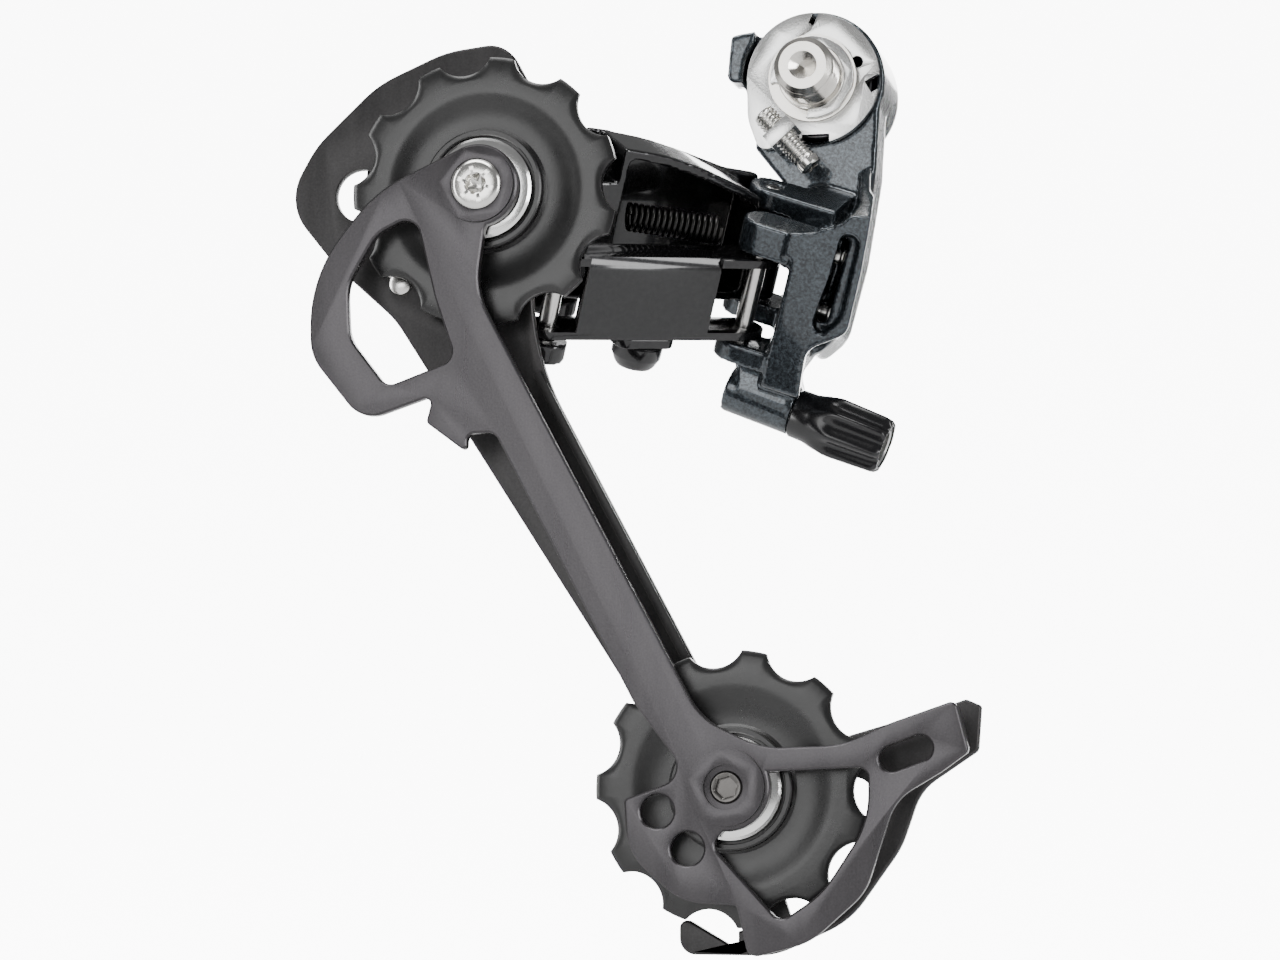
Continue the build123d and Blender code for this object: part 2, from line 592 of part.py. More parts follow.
# ---- outer link: die-cast cover that carries the load, hollow on its inboard side ----
OUTER_BOTTOM = -3.0
OUTER_EYE_TOP, CAGE_EYE_TOP = 12.4, 17.1
OUTER_EYE_RADIUS = 4.0
SKIN_INSIDE, SKIN_OUTSIDE = -4.3, -5.3
COVER_WALL = 1.5
with BuildPart() as outer_link:
    for x, y, top in ((0, 0, OUTER_EYE_TOP), (LINK_X, LINK_Y, CAGE_EYE_TOP)):
        with BuildSketch(pin_plane(OUTER_BOTTOM)):
            with Locations((OUTER_PIN_X + x, OUTER_PIN_Y + y)):
                Circle(OUTER_EYE_RADIUS)
        extrude(amount=top - OUTER_BOTTOM)
    # body between the eyes, its top rising in a swoop towards the cage
    with BuildSketch(beside_link(OUTER_PIN_X, OUTER_PIN_Y, OUTER_EYE_RADIUS)):
        with BuildLine():
            closed_outline([
                (0.5, OUTER_BOTTOM, 0), (0.5, OUTER_EYE_TOP, 0), (4.3, OUTER_EYE_TOP, 0), (4.3, 14.9, 0),
                (8.0, 16.7, 12), (17.0, 20.0, 40), (24.0, 21.9, 40), (31.8, 22.9, 0),
                (31.8, CAGE_EYE_TOP, 0), (36.2, CAGE_EYE_TOP, 0), (36.2, OUTER_BOTTOM, 0),
            ])
        make_face()
    extrude(amount=OUTER_EYE_RADIUS + 0.3 - SKIN_INSIDE)
    # thin skin outboard of the ears
    with BuildSketch(beside_link(OUTER_PIN_X, OUTER_PIN_Y, SKIN_INSIDE)):
        with BuildLine():
            closed_outline([
                (0.2, OUTER_BOTTOM, 0), (0.2, 16.0, 1.0), (7.3, 17.0, 12), (17.2, 20.0, 40), (29.4, 22.6, 40),
                (34.8, 23.2, 1.0), (34.8, OUTER_BOTTOM, 0),
            ])
        make_face()
    extrude(amount=SKIN_INSIDE - SKIN_OUTSIDE)
    # pocket, open inboard
    with BuildSketch(beside_link(OUTER_PIN_X, OUTER_PIN_Y, OUTER_EYE_RADIUS + 1)):
        with BuildLine():
            closed_outline([
                (4.9, OUTER_BOTTOM + COVER_WALL, 1.0), (4.9, 13.4, 1.0), (8.4, 15.1, 12), (17.3, 18.4, 40),
                (24.2, 20.3, 40), (30.5, 21.2, 1.0), (30.5, OUTER_BOTTOM + COVER_WALL, 1.0),
            ])
        make_face()
    extrude(amount=OUTER_EYE_RADIUS + 1 + 3.4, mode=Mode.SUBTRACT)
    with BuildSketch(pin_plane(-10)):
        with Locations((OUTER_PIN_X, OUTER_PIN_Y), (OUTER_PIN_X + LINK_X, OUTER_PIN_Y + LINK_Y)):
            Circle(PIN_RADIUS + RUNNING_GAP)
    extrude(amount=40, mode=Mode.SUBTRACT)
hand_in(outer_link, "outer_link")

# ---- cage knuckle: round housing for the cage spring, with ears for both links ----
KNUCKLE_FRONT, KNUCKLE_BACK = -38.0, -18.0
KNUCKLE_RADIUS = 13.0
SHAFT_RADIUS = 4.5
KNUCKLE_BUSHING_RADIUS = 5.4
KNUCKLE_WALL = -12.0
with BuildPart() as knuckle_body:
    with BuildSketch(at_depth(KNUCKLE_BACK)):
        with Locations((CAGE_AXIS_X, CAGE_AXIS_Z)):
            Circle(KNUCKLE_RADIUS)
    extrude(amount=KNUCKLE_BACK - KNUCKLE_FRONT)
    fillet(knuckle_body.edges().sort_by(Axis.Y)[-1], 2.0)
    with BuildSketch(pin_plane(-9.9, LINK_X, LINK_Y)):
        with Locations((KNUCKLE_WALL, 5.6)):
            Rectangle(7.0, 19.0)
    extrude(amount=30.6)
    ear(pin_plane(LINK_TOP + 0.4, LINK_X, LINK_Y), 0, 0, KNUCKLE_WALL, 2.6)
    ear(pin_plane(INNER_PIN_LOW, LINK_X, LINK_Y), 0, 0, KNUCKLE_WALL, LOWER_EAR_THICKNESS)
    ear(pin_plane(CAGE_EYE_TOP + 0.3, LINK_X, LINK_Y), OUTER_PIN_X, OUTER_PIN_Y, KNUCKLE_WALL, 3.4)
    ear(pin_plane(OUTER_PIN_LOW, LINK_X, LINK_Y), OUTER_PIN_X, OUTER_PIN_Y, KNUCKLE_WALL, LOWER_EAR_THICKNESS)
    with BuildSketch(at_depth(KNUCKLE_FRONT)):
        Rectangle(300, 300)
    extrude(amount=20, mode=Mode.SUBTRACT)
    # stop lug that the cage pin rests against
    with BuildSketch(at_depth(KNUCKLE_FRONT + 6)):
        with Locations(Location((CAGE_AXIS_X, CAGE_AXIS_Z), -99.5)):
            with Locations((15.6, 0)):
                RectangleRounded(9.0, 3.6, 0.8)
    extrude(amount=6)
    # room for the cover, shaft bushing bore, spring pocket and pin holes
    with BuildSketch(at_depth(KNUCKLE_BACK + 12)):
        with Locations((CAGE_AXIS_X, CAGE_AXIS_Z)):
            Circle(9.7)
    extrude(amount=12, mode=Mode.SUBTRACT)
    with BuildSketch(at_depth(KNUCKLE_BACK + 1)):
        with Locations((CAGE_AXIS_X, CAGE_AXIS_Z)):
            Circle(KNUCKLE_BUSHING_RADIUS)
    extrude(amount=KNUCKLE_BACK - KNUCKLE_FRONT + 2, mode=Mode.SUBTRACT)
    with BuildSketch(at_depth(KNUCKLE_BACK - 3)):
        with Locations((CAGE_AXIS_X, CAGE_AXIS_Z)):
            Circle(11.4)
            Circle(KNUCKLE_BUSHING_RADIUS + 1.0, mode=Mode.SUBTRACT)
    extrude(amount=20, mode=Mode.SUBTRACT)
    with BuildSketch(pin_plane(-12, LINK_X, LINK_Y)):
        Circle(PIN_RADIUS)
        with Locations((OUTER_PIN_X, OUTER_PIN_Y)):
            Circle(PIN_RADIUS)
    extrude(amount=40, mode=Mode.SUBTRACT)
hand_in(knuckle_body, "knuckle_body")

with BuildPart() as inner_knuckle_pin:
    with BuildSketch(pin_plane(INNER_PIN_LOW, LINK_X, LINK_Y)):
        Circle(PIN_RADIUS)
    extrude(amount=LINK_TOP + 2.8 - INNER_PIN_LOW)
    with BuildSketch(at_depth(KNUCKLE_FRONT)):
        Rectangle(300, 300)
    extrude(amount=20, mode=Mode.SUBTRACT)
hand_in(inner_knuckle_pin, "inner_knuckle_pin")

with BuildPart() as outer_knuckle_pin:
    with BuildSketch(pin_plane(OUTER_PIN_LOW, LINK_X, LINK_Y)):
        with Locations((OUTER_PIN_X, OUTER_PIN_Y)):
            Circle(PIN_RADIUS)
    extrude(amount=CAGE_EYE_TOP + 3.5 - OUTER_PIN_LOW)
hand_in(outer_knuckle_pin, "outer_knuckle_pin")

with BuildPart() as knuckle_bushing:
    with BuildSketch(at_depth(KNUCKLE_BACK)):
        with Locations((CAGE_AXIS_X, CAGE_AXIS_Z)):
            Circle(KNUCKLE_BUSHING_RADIUS)
            Circle(SHAFT_RADIUS + RUNNING_GAP, mode=Mode.SUBTRACT)
    extrude(amount=KNUCKLE_BACK - KNUCKLE_FRONT)
hand_in(knuckle_bushing, "knuckle_bushing")

cage_spring = torsion_spring(CAGE_AXIS_X, CAGE_AXIS_Z, 8.9, 2.0, KNUCKLE_FRONT + 2, 5, 2.4)
hand_in(cage_spring, "cage_spring")

# ---- cage shaft riveted to the outer plate, its retaining ring and the knuckle's cover ----
with BuildPart() as cage_shaft:
    with BuildSketch(at_depth(KNUCKLE_BACK + 2.2)):
        with Locations((CAGE_AXIS_X, CAGE_AXIS_Z)):
            Circle(SHAFT_RADIUS)
    extrude(amount=KNUCKLE_BACK + 2.2 - OUTER_PLATE_FACE)
    with BuildSketch(at_depth(KNUCKLE_BACK + 1.3)):
        with Locations((CAGE_AXIS_X, CAGE_AXIS_Z)):
            Circle(SHAFT_RADIUS + 1)
            Circle(SHAFT_RADIUS - 0.6, mode=Mode.SUBTRACT)
    extrude(amount=0.9, mode=Mode.SUBTRACT)
hand_in(cage_shaft, "cage_shaft")

with BuildPart() as cage_shaft_ring:
    with BuildSketch(at_depth(KNUCKLE_BACK + 1.25)):
        with Locations((CAGE_AXIS_X, CAGE_AXIS_Z)):
            Circle(SHAFT_RADIUS + 1.9)
            Circle(SHAFT_RADIUS - 0.6, mode=Mode.SUBTRACT)
        with Locations((CAGE_AXIS_X, CAGE_AXIS_Z + 5)):
            Rectangle(3.4, 6, mode=Mode.SUBTRACT)
    extrude(amount=0.8)
hand_in(cage_shaft_ring, "cage_shaft_ring")

with BuildPart() as knuckle_cover:
    with BuildSketch(at_depth(KNUCKLE_BACK + 4.4)):
        with Locations((CAGE_AXIS_X, CAGE_AXIS_Z)):
            Circle(9.6)
    extrude(amount=4.4)
    fillet(knuckle_cover.edges().sort_by(Axis.Y)[-1], 1.4)
    with BuildSketch(at_depth(KNUCKLE_BACK + 3.2)):
        with Locations((CAGE_AXIS_X, CAGE_AXIS_Z)):
            Circle(8.2)
    extrude(amount=4, mode=Mode.SUBTRACT)
hand_in(knuckle_cover, "knuckle_cover")

# ---- return spring: tension coil across the links' diagonal, it pulls the cage inboard ----
SPRING_HEIGHT = 11.1
SPRING_RADIUS = 2.0
SPRING_WIRE = 0.8
DIAGONAL_X, DIAGONAL_Y = OUTER_PIN_X + LINK_X, OUTER_PIN_Y + LINK_Y
DIAGONAL_LENGTH = sqrt(DIAGONAL_X**2 + DIAGONAL_Y**2)
DIAGONAL = (ACROSS * DIAGONAL_X + OUTWARD * DIAGONAL_Y).normalized()
COIL_START, COIL_TURNS, COIL_PITCH = 7.6, 16, 0.95
with BuildPart() as return_spring:
    coil_origin = pin_plane(SPRING_HEIGHT).origin + DIAGONAL * COIL_START
    with BuildLine() as spring_path:
        Helix(
            pitch=COIL_PITCH, height=COIL_PITCH * COIL_TURNS, radius=SPRING_RADIUS,
            center=coil_origin, direction=DIAGONAL,
        )
    with BuildSketch(Plane(origin=spring_path.line @ 0, z_dir=spring_path.line % 0)):
        Circle(SPRING_WIRE / 2)
    sweep()
hand_in(return_spring, "return_spring")


# ---- cage plates ----
def flat_plate(corners, back, thickness):
    with BuildSketch(at_depth(back)) as outline:
        with BuildLine():
            closed_outline(corners)
        make_face()
    extrude(outline.sketch, amount=thickness)


inner_corners = [
    (GUIDE_X, GUIDE_Z, 0), (GUIDE_X - 2.6, GUIDE_Z + 5.8, 0), (-60.5, -25.8, 22), (-71.0, -39.0, 22),
    (-70.8, -51.5, 8), (-62.5, -61.9, 5), (-51.2, -58.1, 0.9), (-52.3, -62.3, 0.8), (-45.9, -67.1, 0.6),
    (-45.8, -64.2, 1.2), (-41.5, -64.0, 2.0), (-19.6, -106.0, 12), (-11.3, -116.9, 3.0),
    (-21.2, -120.4, 0.8), (-20.7, -128.5, 9), (-12.5, -135.9, 10), (-4.0, -136.4, 0.6),
    (-2.2, -144.3, 1.6), (7.0, -142.0, 12), (15.5, -134.5, 9), (20.0, -120.7, 8), (27.0, -116.6, 0),
    (31.2, -113.6, 1.0), (29.2, -105.9, 1.0), (19.5, -109.2, 8), (12.0, -112.5, 12), (0.0, -112.9, 14),
    (-9.4, -108.3, 12), (-13.6, -100.5, 12),
    (-39.4, -51.6, 16), (-44.6, -42.0, 12), (-43.2, -31.6, 2.5), (-39.5, -29.5, 0),
]
loop_corners = [
    (-54.2, -29.6, 2.5), (-60.4, -32.6, 6), (-65.0, -40.5, 7), (-64.6, -48.8, 6), (-58.6, -56.6, 2),
    (-47.7, -52.6, 2.2), (-51.0, -43.0, 16),
]
window_corners = [
    (0.0, -116.4, 0), (16.0, -115.8, 1.6), (16.0, -124.0, 14), (9.0, -134.6, 16), (2.6, -138.9, 1.8),
    (-8.0, -127.2, 1.8), (-5.4, -124.6, 0),
]
BOSS_RING_RADIUS = 5.9
FLANGE_DEPTH = 1.6
with BuildPart() as cage_inner_plate:
    flat_plate(inner_corners, INNER_PLATE_BACK, PLATE_THICKNESS)
    with BuildSketch(at_depth(INNER_PLATE_BACK)):
        with Locations((GUIDE_X, GUIDE_Z)):
            Circle(6.4)
        with Locations((TENSION_X, TENSION_Z)):
            Circle(7.2)
    extrude(amount=PLATE_THICKNESS)
    with BuildSketch(at_depth(INNER_PLATE_BACK + 1)):
        with BuildLine():
            closed_outline(loop_corners)
        make_face()
        with BuildLine():
            closed_outline(window_corners)
        make_face()
        with Locations((TENSION_X - 10.65, TENSION_Z - 3.5), (TENSION_X - 6.05, TENSION_Z - 9.15)):
            Circle(2.6)
        with Locations((21.7, -113.8)):
            SlotCenterToCenter(4.4, 4.0, rotation=20)
    extrude(amount=PLATE_THICKNESS + 2, mode=Mode.SUBTRACT)
    with BuildSketch(at_depth(INNER_PLATE_BACK)):
        with Locations((TENSION_X, TENSION_Z)):
            Circle(6.6)
    extrude(amount=PLATE_THICKNESS)
    face_rim = cage_inner_plate.faces().sort_by(Axis.Y)[0].edges()
    chamfer(face_rim, 0.3)
    # raised rings that the pulley bolts sit in
    with BuildSketch(at_depth(INNER_PLATE_FACE + 0.2)):
        with Locations((GUIDE_X, GUIDE_Z), (TENSION_X, TENSION_Z)):
            Circle(BOSS_RING_RADIUS)
    extrude(amount=0.9)
    # stiffening flange along the rear edge of the arm, turned back towards the pulleys
    with BuildSketch(at_depth(INNER_PLATE_BACK + FLANGE_DEPTH)):
        with BuildLine():
            Polyline((-39.6, -52.0), (-13.8, -100.2), (-14.9, -100.8), (-40.7, -52.6), close=True)
        make_face()
    extrude(amount=FLANGE_DEPTH + 0.4)
    # the guiding tab bends outboard at the cage's rear end
    with BuildSketch(at_depth(INNER_PLATE_BACK + 2.2)):
        with BuildLine():
            Polyline((30.9, -112.9), (29.4, -106.6), (27.9, -107.0), (29.4, -113.3), close=True)
        make_face()
    extrude(amount=2.6)
    with BuildSketch(at_depth(INNER_PLATE_BACK + 1)):
        with Locations((GUIDE_X, GUIDE_Z)):
            Circle(PULLEY_BOLT_RADIUS + 0.02)
        with Locations((TENSION_X, TENSION_Z)):
            Circle(PULLEY_BOLT_RADIUS)
    extrude(amount=PLATE_THICKNESS + 4, mode=Mode.SUBTRACT)
    with BuildSketch(at_depth(INNER_PLATE_FACE)):
        with Locations((GUIDE_X, GUIDE_Z)):
            Circle(4.0)
        with Locations((TENSION_X, TENSION_Z)):
            Circle(3.4)
    extrude(amount=2, mode=Mode.SUBTRACT)
hand_in(cage_inner_plate, "cage_inner_plate")

with BuildPart() as cage_outer_plate:
    with BuildSketch(at_depth(OUTER_PLATE_BACK)):
        # upper lobe and arm
        with BuildLine():
            closed_outline([
                (-37.6, -9.5, 3), (-42.2, -1.0, 5), (-52.0, -2.2, 18), (-63.0, -7.0, 18), (-73.0, -16.5, 16),
                (-78.0, -25.5, 8), (-70.0, -35.5, 12), (-60.0, -44.6, 14), (-46.2, -65.8, 40),
                (-21.0, -105.6, 20), (-13.0, -118.7, 0), (-5.5, -118.7, 0), (-5.5, -104.5, 4),
                (-12.0, -99.4, 4), (-38.2, -50.0, 40), (-37.6, -30.0, 20),
            ])
        make_face()
        # ring of the lower pulley guard, open towards the wheel side's top left
        with Locations((TENSION_X, TENSION_Z)):
            Circle(8.0)
    extrude(amount=PLATE_THICKNESS)
    with BuildSketch(at_depth(OUTER_PLATE_BACK)):
        with BuildLine():
            closed_outline([
                (-9.0, -113.0, 0), (-9.0, -109.5, 0), (8.0, -111.6, 8), (25.5, -106.6, 10),
                (29.6, -105.2, 0.8), (31.9, -106.2, 0.6), (31.4, -113.0, 1.2), (22.6, -118.9, 8),
                (19.6, -127.5, 14), (11.6, -138.6, 14), (0.0, -143.9, 12), (-14.6, -143.7, 2.5),
                (-14.6, -137.6, 1.2), (-5.5, -143.0, 0), (-5.5, -140.2, 0), (5.0, -137.2, 6),
                (13.6, -129.5, 8), (16.0, -117.2, 3), (0.0, -116.0, 0),
            ])
        make_face()
    extrude(amount=PLATE_THICKNESS)
    # strut from the pulley boss down to the guard
    with BuildSketch(at_depth(OUTER_PLATE_BACK)):
        with BuildLine():
            closed_outline([(-12.0, -120.0, 0), (-3.0, -121.0, 0), (3.0, -139.5, 0), (-3.5, -142.5, 0)])
        make_face()
    extrude(amount=PLATE_THICKNESS)
    with BuildSketch(at_depth(OUTER_PLATE_BACK + 1)):
        with Locations((-65.5, -24.7)):
            Circle(4.2)
        with Locations((-59.0, -39.0)):
            Circle(1.9)
        with Locations((GUIDE_X, GUIDE_Z), (TENSION_X, TENSION_Z)):
            Circle(PULLEY_BOLT_RADIUS)
        with Locations((CAGE_AXIS_X, CAGE_AXIS_Z)):
            Circle(SHAFT_RADIUS)
    extrude(amount=PLATE_THICKNESS + 2, mode=Mode.SUBTRACT)
    chamfer(cage_outer_plate.faces().sort_by(Axis.Y)[0].outer_wire().edges(), 0.3)
    # stiffening rib pressed along the arm
    with BuildSketch(at_depth(OUTER_PLATE_FACE)):
        with BuildLine():
            Polyline((-36.4, -53.4), (-12.4, -99.0), (-13.6, -99.6), (-37.6, -54.0), close=True)
        make_face()
    extrude(amount=1.0)
hand_in(cage_outer_plate, "cage_outer_plate")

with BuildPart() as cage_stop_pin:
    with BuildSketch(at_depth(OUTER_PLATE_BACK + 5.4)):
        with Locations((-59.0, -39.0)):
            Circle(1.9)
    extrude(amount=5.4 + PLATE_THICKNESS + 0.8)
    fillet(cage_stop_pin.edges().sort_by(Axis.Y)[0], 0.6)
hand_in(cage_stop_pin, "cage_stop_pin")

# ---- pulleys: moulded, eleven teeth, flat tooth tips and dished sides ----
TIP_HALF_ANGLE = 5.08
TOOTH_HALF_WIDTH = 1.15
HUB_HALF_WIDTH = 2.6
PULLEY_BORE = 3.6
CAP_RADIUS = 8.0


def pulley_profile(x, z, tip_angle):
    """Toothed outline: flat tips joined by hollow arcs."""
    def rim_point(radius, angle):
        return x + radius * cos(radians(angle)), z + radius * sin(radians(angle))

    step = 360 / PULLEY_TEETH
    with BuildLine() as rim:
        for tooth in range(PULLEY_TEETH):
            middle = tip_angle + tooth * step
            left = rim_point(TIP_RADIUS, middle - TIP_HALF_ANGLE)
            right = rim_point(TIP_RADIUS, middle + TIP_HALF_ANGLE)
            bottom = rim_point(ROOT_RADIUS, middle + step / 2)
            following = rim_point(TIP_RADIUS, middle + step - TIP_HALF_ANGLE)
            Line(left, right)
            ThreePointArc(right, bottom, following)
    make_face(rim.line.edges())


def pulley(x, z, tip_angle, dish):
    with BuildPart() as wheel:
        with BuildSketch(at_depth(PULLEY_PLANE + TOOTH_HALF_WIDTH)):
            pulley_profile(x, z, tip_angle)
        extrude(amount=TOOTH_HALF_WIDTH * 2)
        with BuildSketch(Plane(origin=(x, PULLEY_PLANE, z), x_dir=(1, 0, 0), z_dir=(0, 0, 1))):
            with BuildLine():
                for side in (-1, 1):
                    Polyline((9.4, side * 3), (9.4, side * (TOOTH_HALF_WIDTH - dish)),
                             (12.4, side * (TOOTH_HALF_WIDTH - dish)), (15.4, side * TOOTH_HALF_WIDTH),
                             (15.4, side * 3), close=True)
            make_face()
        revolve(axis=Axis((x, PULLEY_PLANE, z), (0, 1, 0)), mode=Mode.SUBTRACT)
        with BuildSketch(at_depth(PULLEY_PLANE + HUB_HALF_WIDTH)):
            with Locations((x, z)):
                Circle(9.4)
        extrude(amount=HUB_HALF_WIDTH * 2)
        for side in (-1, 1):
            with BuildSketch(at_depth(PULLEY_PLANE + side * HUB_HALF_WIDTH)):
                with Locations((x, z)):
                    Circle(8.4)
                    Circle(4.6, mode=Mode.SUBTRACT)
            extrude(amount=side * 1.2, mode=Mode.SUBTRACT)
        with BuildSketch(at_depth(PULLEY_PLANE + 4)):
            with Locations((x, z)):
                Circle(PULLEY_BORE)
        extrude(amount=8, mode=Mode.SUBTRACT)
    return wheel


def pulley_caps(x, z):
    """Two pressed steel dust caps, one each side of the hub."""
    with BuildPart() as caps:
        for side in (-1, 1):
            with BuildSketch(at_depth(PULLEY_PLANE + side * (HUB_HALF_WIDTH + 1.0))):
                with Locations((x, z)):
                    Circle(CAP_RADIUS)
                    Circle(4.6, mode=Mode.SUBTRACT)
            extrude(amount=side * 2.2)
    return caps


def pulley_bushing(x, z):
    with BuildPart() as sleeve:
        with BuildSketch(at_depth(OUTER_PLATE_FACE)):
            with Locations((x, z)):
                Circle(PULLEY_BORE - RUNNING_GAP)
                Circle(PULLEY_BOLT_RADIUS + 0.02, mode=Mode.SUBTRACT)
        extrude(amount=PLATE_GAP)
    return sleeve


for label, x, z, tip_angle, dish in (
    ("guide", GUIDE_X, GUIDE_Z, 82.7, 0.75),
    ("tension", TENSION_X, TENSION_Z, 80.7, 0.5),
):
    hand_in(pulley(x, z, tip_angle, dish), f"{label}_pulley")
    hand_in(pulley_caps(x, z), f"{label}_pulley_caps")
    hand_in(pulley_bushing(x, z), f"{label}_pulley_bushing")

# ---- pulley bolts ----
with BuildPart() as guide_pulley_bolt:
    with BuildSketch(at_depth(OUTER_PLATE_BACK - 0.2)):
        with Locations((GUIDE_X, GUIDE_Z)):
            Circle(PULLEY_BOLT_RADIUS)
    extrude(amount=OUTER_PLATE_BACK - 0.2 - INNER_PLATE_FACE)
    with BuildSketch(at_depth(INNER_PLATE_FACE)):
        with Locations((GUIDE_X, GUIDE_Z)):
            Circle(3.9)
    extrude(amount=1.4)
    chamfer(guide_pulley_bolt.edges().sort_by(Axis.Y)[0], 0.4)
    with BuildSketch(at_depth(INNER_PLATE_FACE - 1.4)):
        with Locations((GUIDE_X, GUIDE_Z)):
            RegularPolygon(1.5, 6, major_radius=False)
    extrude(amount=-2.4, mode=Mode.SUBTRACT)
hand_in(guide_pulley_bolt, "guide_pulley_bolt")

with BuildPart() as tension_pulley_bolt:
    with BuildSketch(at_depth(OUTER_PLATE_BACK)):
        with Locations((TENSION_X, TENSION_Z)):
            Circle(PULLEY_BOLT_RADIUS)
    extrude(amount=OUTER_PLATE_BACK - INNER_PLATE_FACE + 0.4)
    chamfer(tension_pulley_bolt.edges().sort_by(Axis.Y)[0], 0.4)
    with BuildSketch(at_depth(OUTER_PLATE_BACK + 2.0)):
        with Locations((TENSION_X, TENSION_Z)):
            Circle(3.9)
    extrude(amount=2.0)
    chamfer(tension_pulley_bolt.edges().sort_by(Axis.Y)[-1], 0.4)
    with BuildSketch(at_depth(OUTER_PLATE_BACK + 2.0)):
        with Locations((TENSION_X, TENSION_Z)):
            RegularPolygon(1.5, 6, major_radius=False)
    extrude(amount=1.6, mode=Mode.SUBTRACT)
hand_in(tension_pulley_bolt, "tension_pulley_bolt")

print("pulley spacing", PULLEY_SPACING, "tip radius", round(TIP_RADIUS, 2))
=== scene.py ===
import json

from math import cos, pi, radians, sin, sqrt

import bmesh
import bpy
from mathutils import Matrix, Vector


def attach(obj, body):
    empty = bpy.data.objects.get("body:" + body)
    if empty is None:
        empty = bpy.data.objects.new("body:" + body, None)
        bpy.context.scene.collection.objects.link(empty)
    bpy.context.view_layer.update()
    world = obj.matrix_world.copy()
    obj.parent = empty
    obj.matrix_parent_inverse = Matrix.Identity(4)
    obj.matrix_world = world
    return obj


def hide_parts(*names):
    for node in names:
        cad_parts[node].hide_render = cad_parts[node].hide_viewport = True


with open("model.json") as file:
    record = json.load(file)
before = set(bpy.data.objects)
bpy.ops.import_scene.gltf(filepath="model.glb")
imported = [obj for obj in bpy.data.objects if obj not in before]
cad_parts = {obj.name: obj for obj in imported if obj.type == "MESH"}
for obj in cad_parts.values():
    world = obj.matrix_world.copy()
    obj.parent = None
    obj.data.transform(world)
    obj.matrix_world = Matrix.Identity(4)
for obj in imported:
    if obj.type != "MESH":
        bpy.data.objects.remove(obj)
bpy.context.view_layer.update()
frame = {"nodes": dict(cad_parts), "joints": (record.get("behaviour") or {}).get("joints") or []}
nodes = frame["nodes"]
record_joints = {joint["name"]: joint for joint in frame["joints"]}

# ---- Hanger bolt ----
# Plated steel axle, turned from bar, with a hexagon socket in its outboard head and a
# rolled M10 thread and a lathe centre in its inboard end.


def new_finish(name):
    """Empty finish, and the place on the object that its patterns are laid by."""
    look = bpy.data.materials.new(name)
    look.use_nodes = True
    place = look.node_tree.nodes.new("ShaderNodeTexCoord")
    return look, place.outputs["Object"]


def setting(look, name):
    """One of a finish's shader inputs."""
    return look.node_tree.nodes["Principled BSDF"].inputs[name]


def cloudy(look, place, scale, detail, roughness=0.5):
    """Cloudy pattern of a finish; a larger scale makes finer clouds."""
    cloud = look.node_tree.nodes.new("ShaderNodeTexNoise")
    cloud.inputs["Scale"].default_value = scale
    cloud.inputs["Detail"].default_value = detail
    cloud.inputs["Roughness"].default_value = roughness
    look.node_tree.links.new(place, cloud.inputs["Vector"])
    return cloud.outputs["Fac"]


def coloured_by(look, pattern, low, dark, high, light):
    """Colour that runs from dark to light between two levels of a pattern."""
    tone = look.node_tree.nodes.new("ShaderNodeValToRGB")
    tone.color_ramp.elements[0].position = low
    tone.color_ramp.elements[0].color = list(dark) + [1]
    tone.color_ramp.elements[1].position = high
    tone.color_ramp.elements[1].color = list(light) + [1]
    look.node_tree.links.new(pattern, tone.inputs["Fac"])
    look.node_tree.links.new(tone.outputs["Color"], setting(look, "Base Color"))


def roughened_by(look, pattern, least, most):
    """Roughness that follows a pattern between two values."""
    spread = look.node_tree.nodes.new("ShaderNodeMapRange")
    spread.inputs["To Min"].default_value = least
    spread.inputs["To Max"].default_value = most
    look.node_tree.links.new(pattern, spread.inputs["Value"])
    look.node_tree.links.new(spread.outputs["Result"], setting(look, "Roughness"))


def bumped_by(look, pattern, strength, depth):
    """Fine relief that follows a pattern, with its depth in mm."""
    bump = look.node_tree.nodes.new("ShaderNodeBump")
    bump.inputs["Strength"].default_value = strength
    bump.inputs["Distance"].default_value = depth / 1000
    look.node_tree.links.new(pattern, bump.inputs["Height"])
    look.node_tree.links.new(bump.outputs["Normal"], setting(look, "Normal"))


def plated_steel(name, colour, roughness, stain=0.25, grain=2600.0, depth=0.02):
    """Bright plated metal: slightly uneven roughness, faint stains and turning grain."""
    look, place = new_finish(name)
    stains = cloudy(look, place, 160.0, 5.0)
    coloured_by(look, stains, 0.35, [c * (1 - stain) for c in colour], 0.62, colour)
    roughened_by(look, stains, roughness * 0.75, roughness * 1.35)
    bumped_by(look, cloudy(look, place, grain, 3.0), 0.35, depth)
    setting(look, "Metallic").default_value = 1.0
    return look


def ring_radius(style, radius, angle, distance):
    """Distance from the axis at an angle for a round, hexagonal, cross-shaped or threaded section."""
    if isinstance(style, tuple):
        pitch, depth = style
        turn = (distance / pitch - angle / (2 * pi)) % 1.0
        return radius - depth * abs(2 * turn - 1) ** 1.2
    if style == "hexagon":
        return radius / cos((angle + pi / 6) % (pi / 3) - pi / 6)
    if style == "cross":
        wide, narrow = radius, radius * 0.25
        c, s = max(abs(cos(angle)), 1e-6), max(abs(sin(angle)), 1e-6)
        return max(min(wide / c, narrow / s), min(narrow / c, wide / s))
    return radius


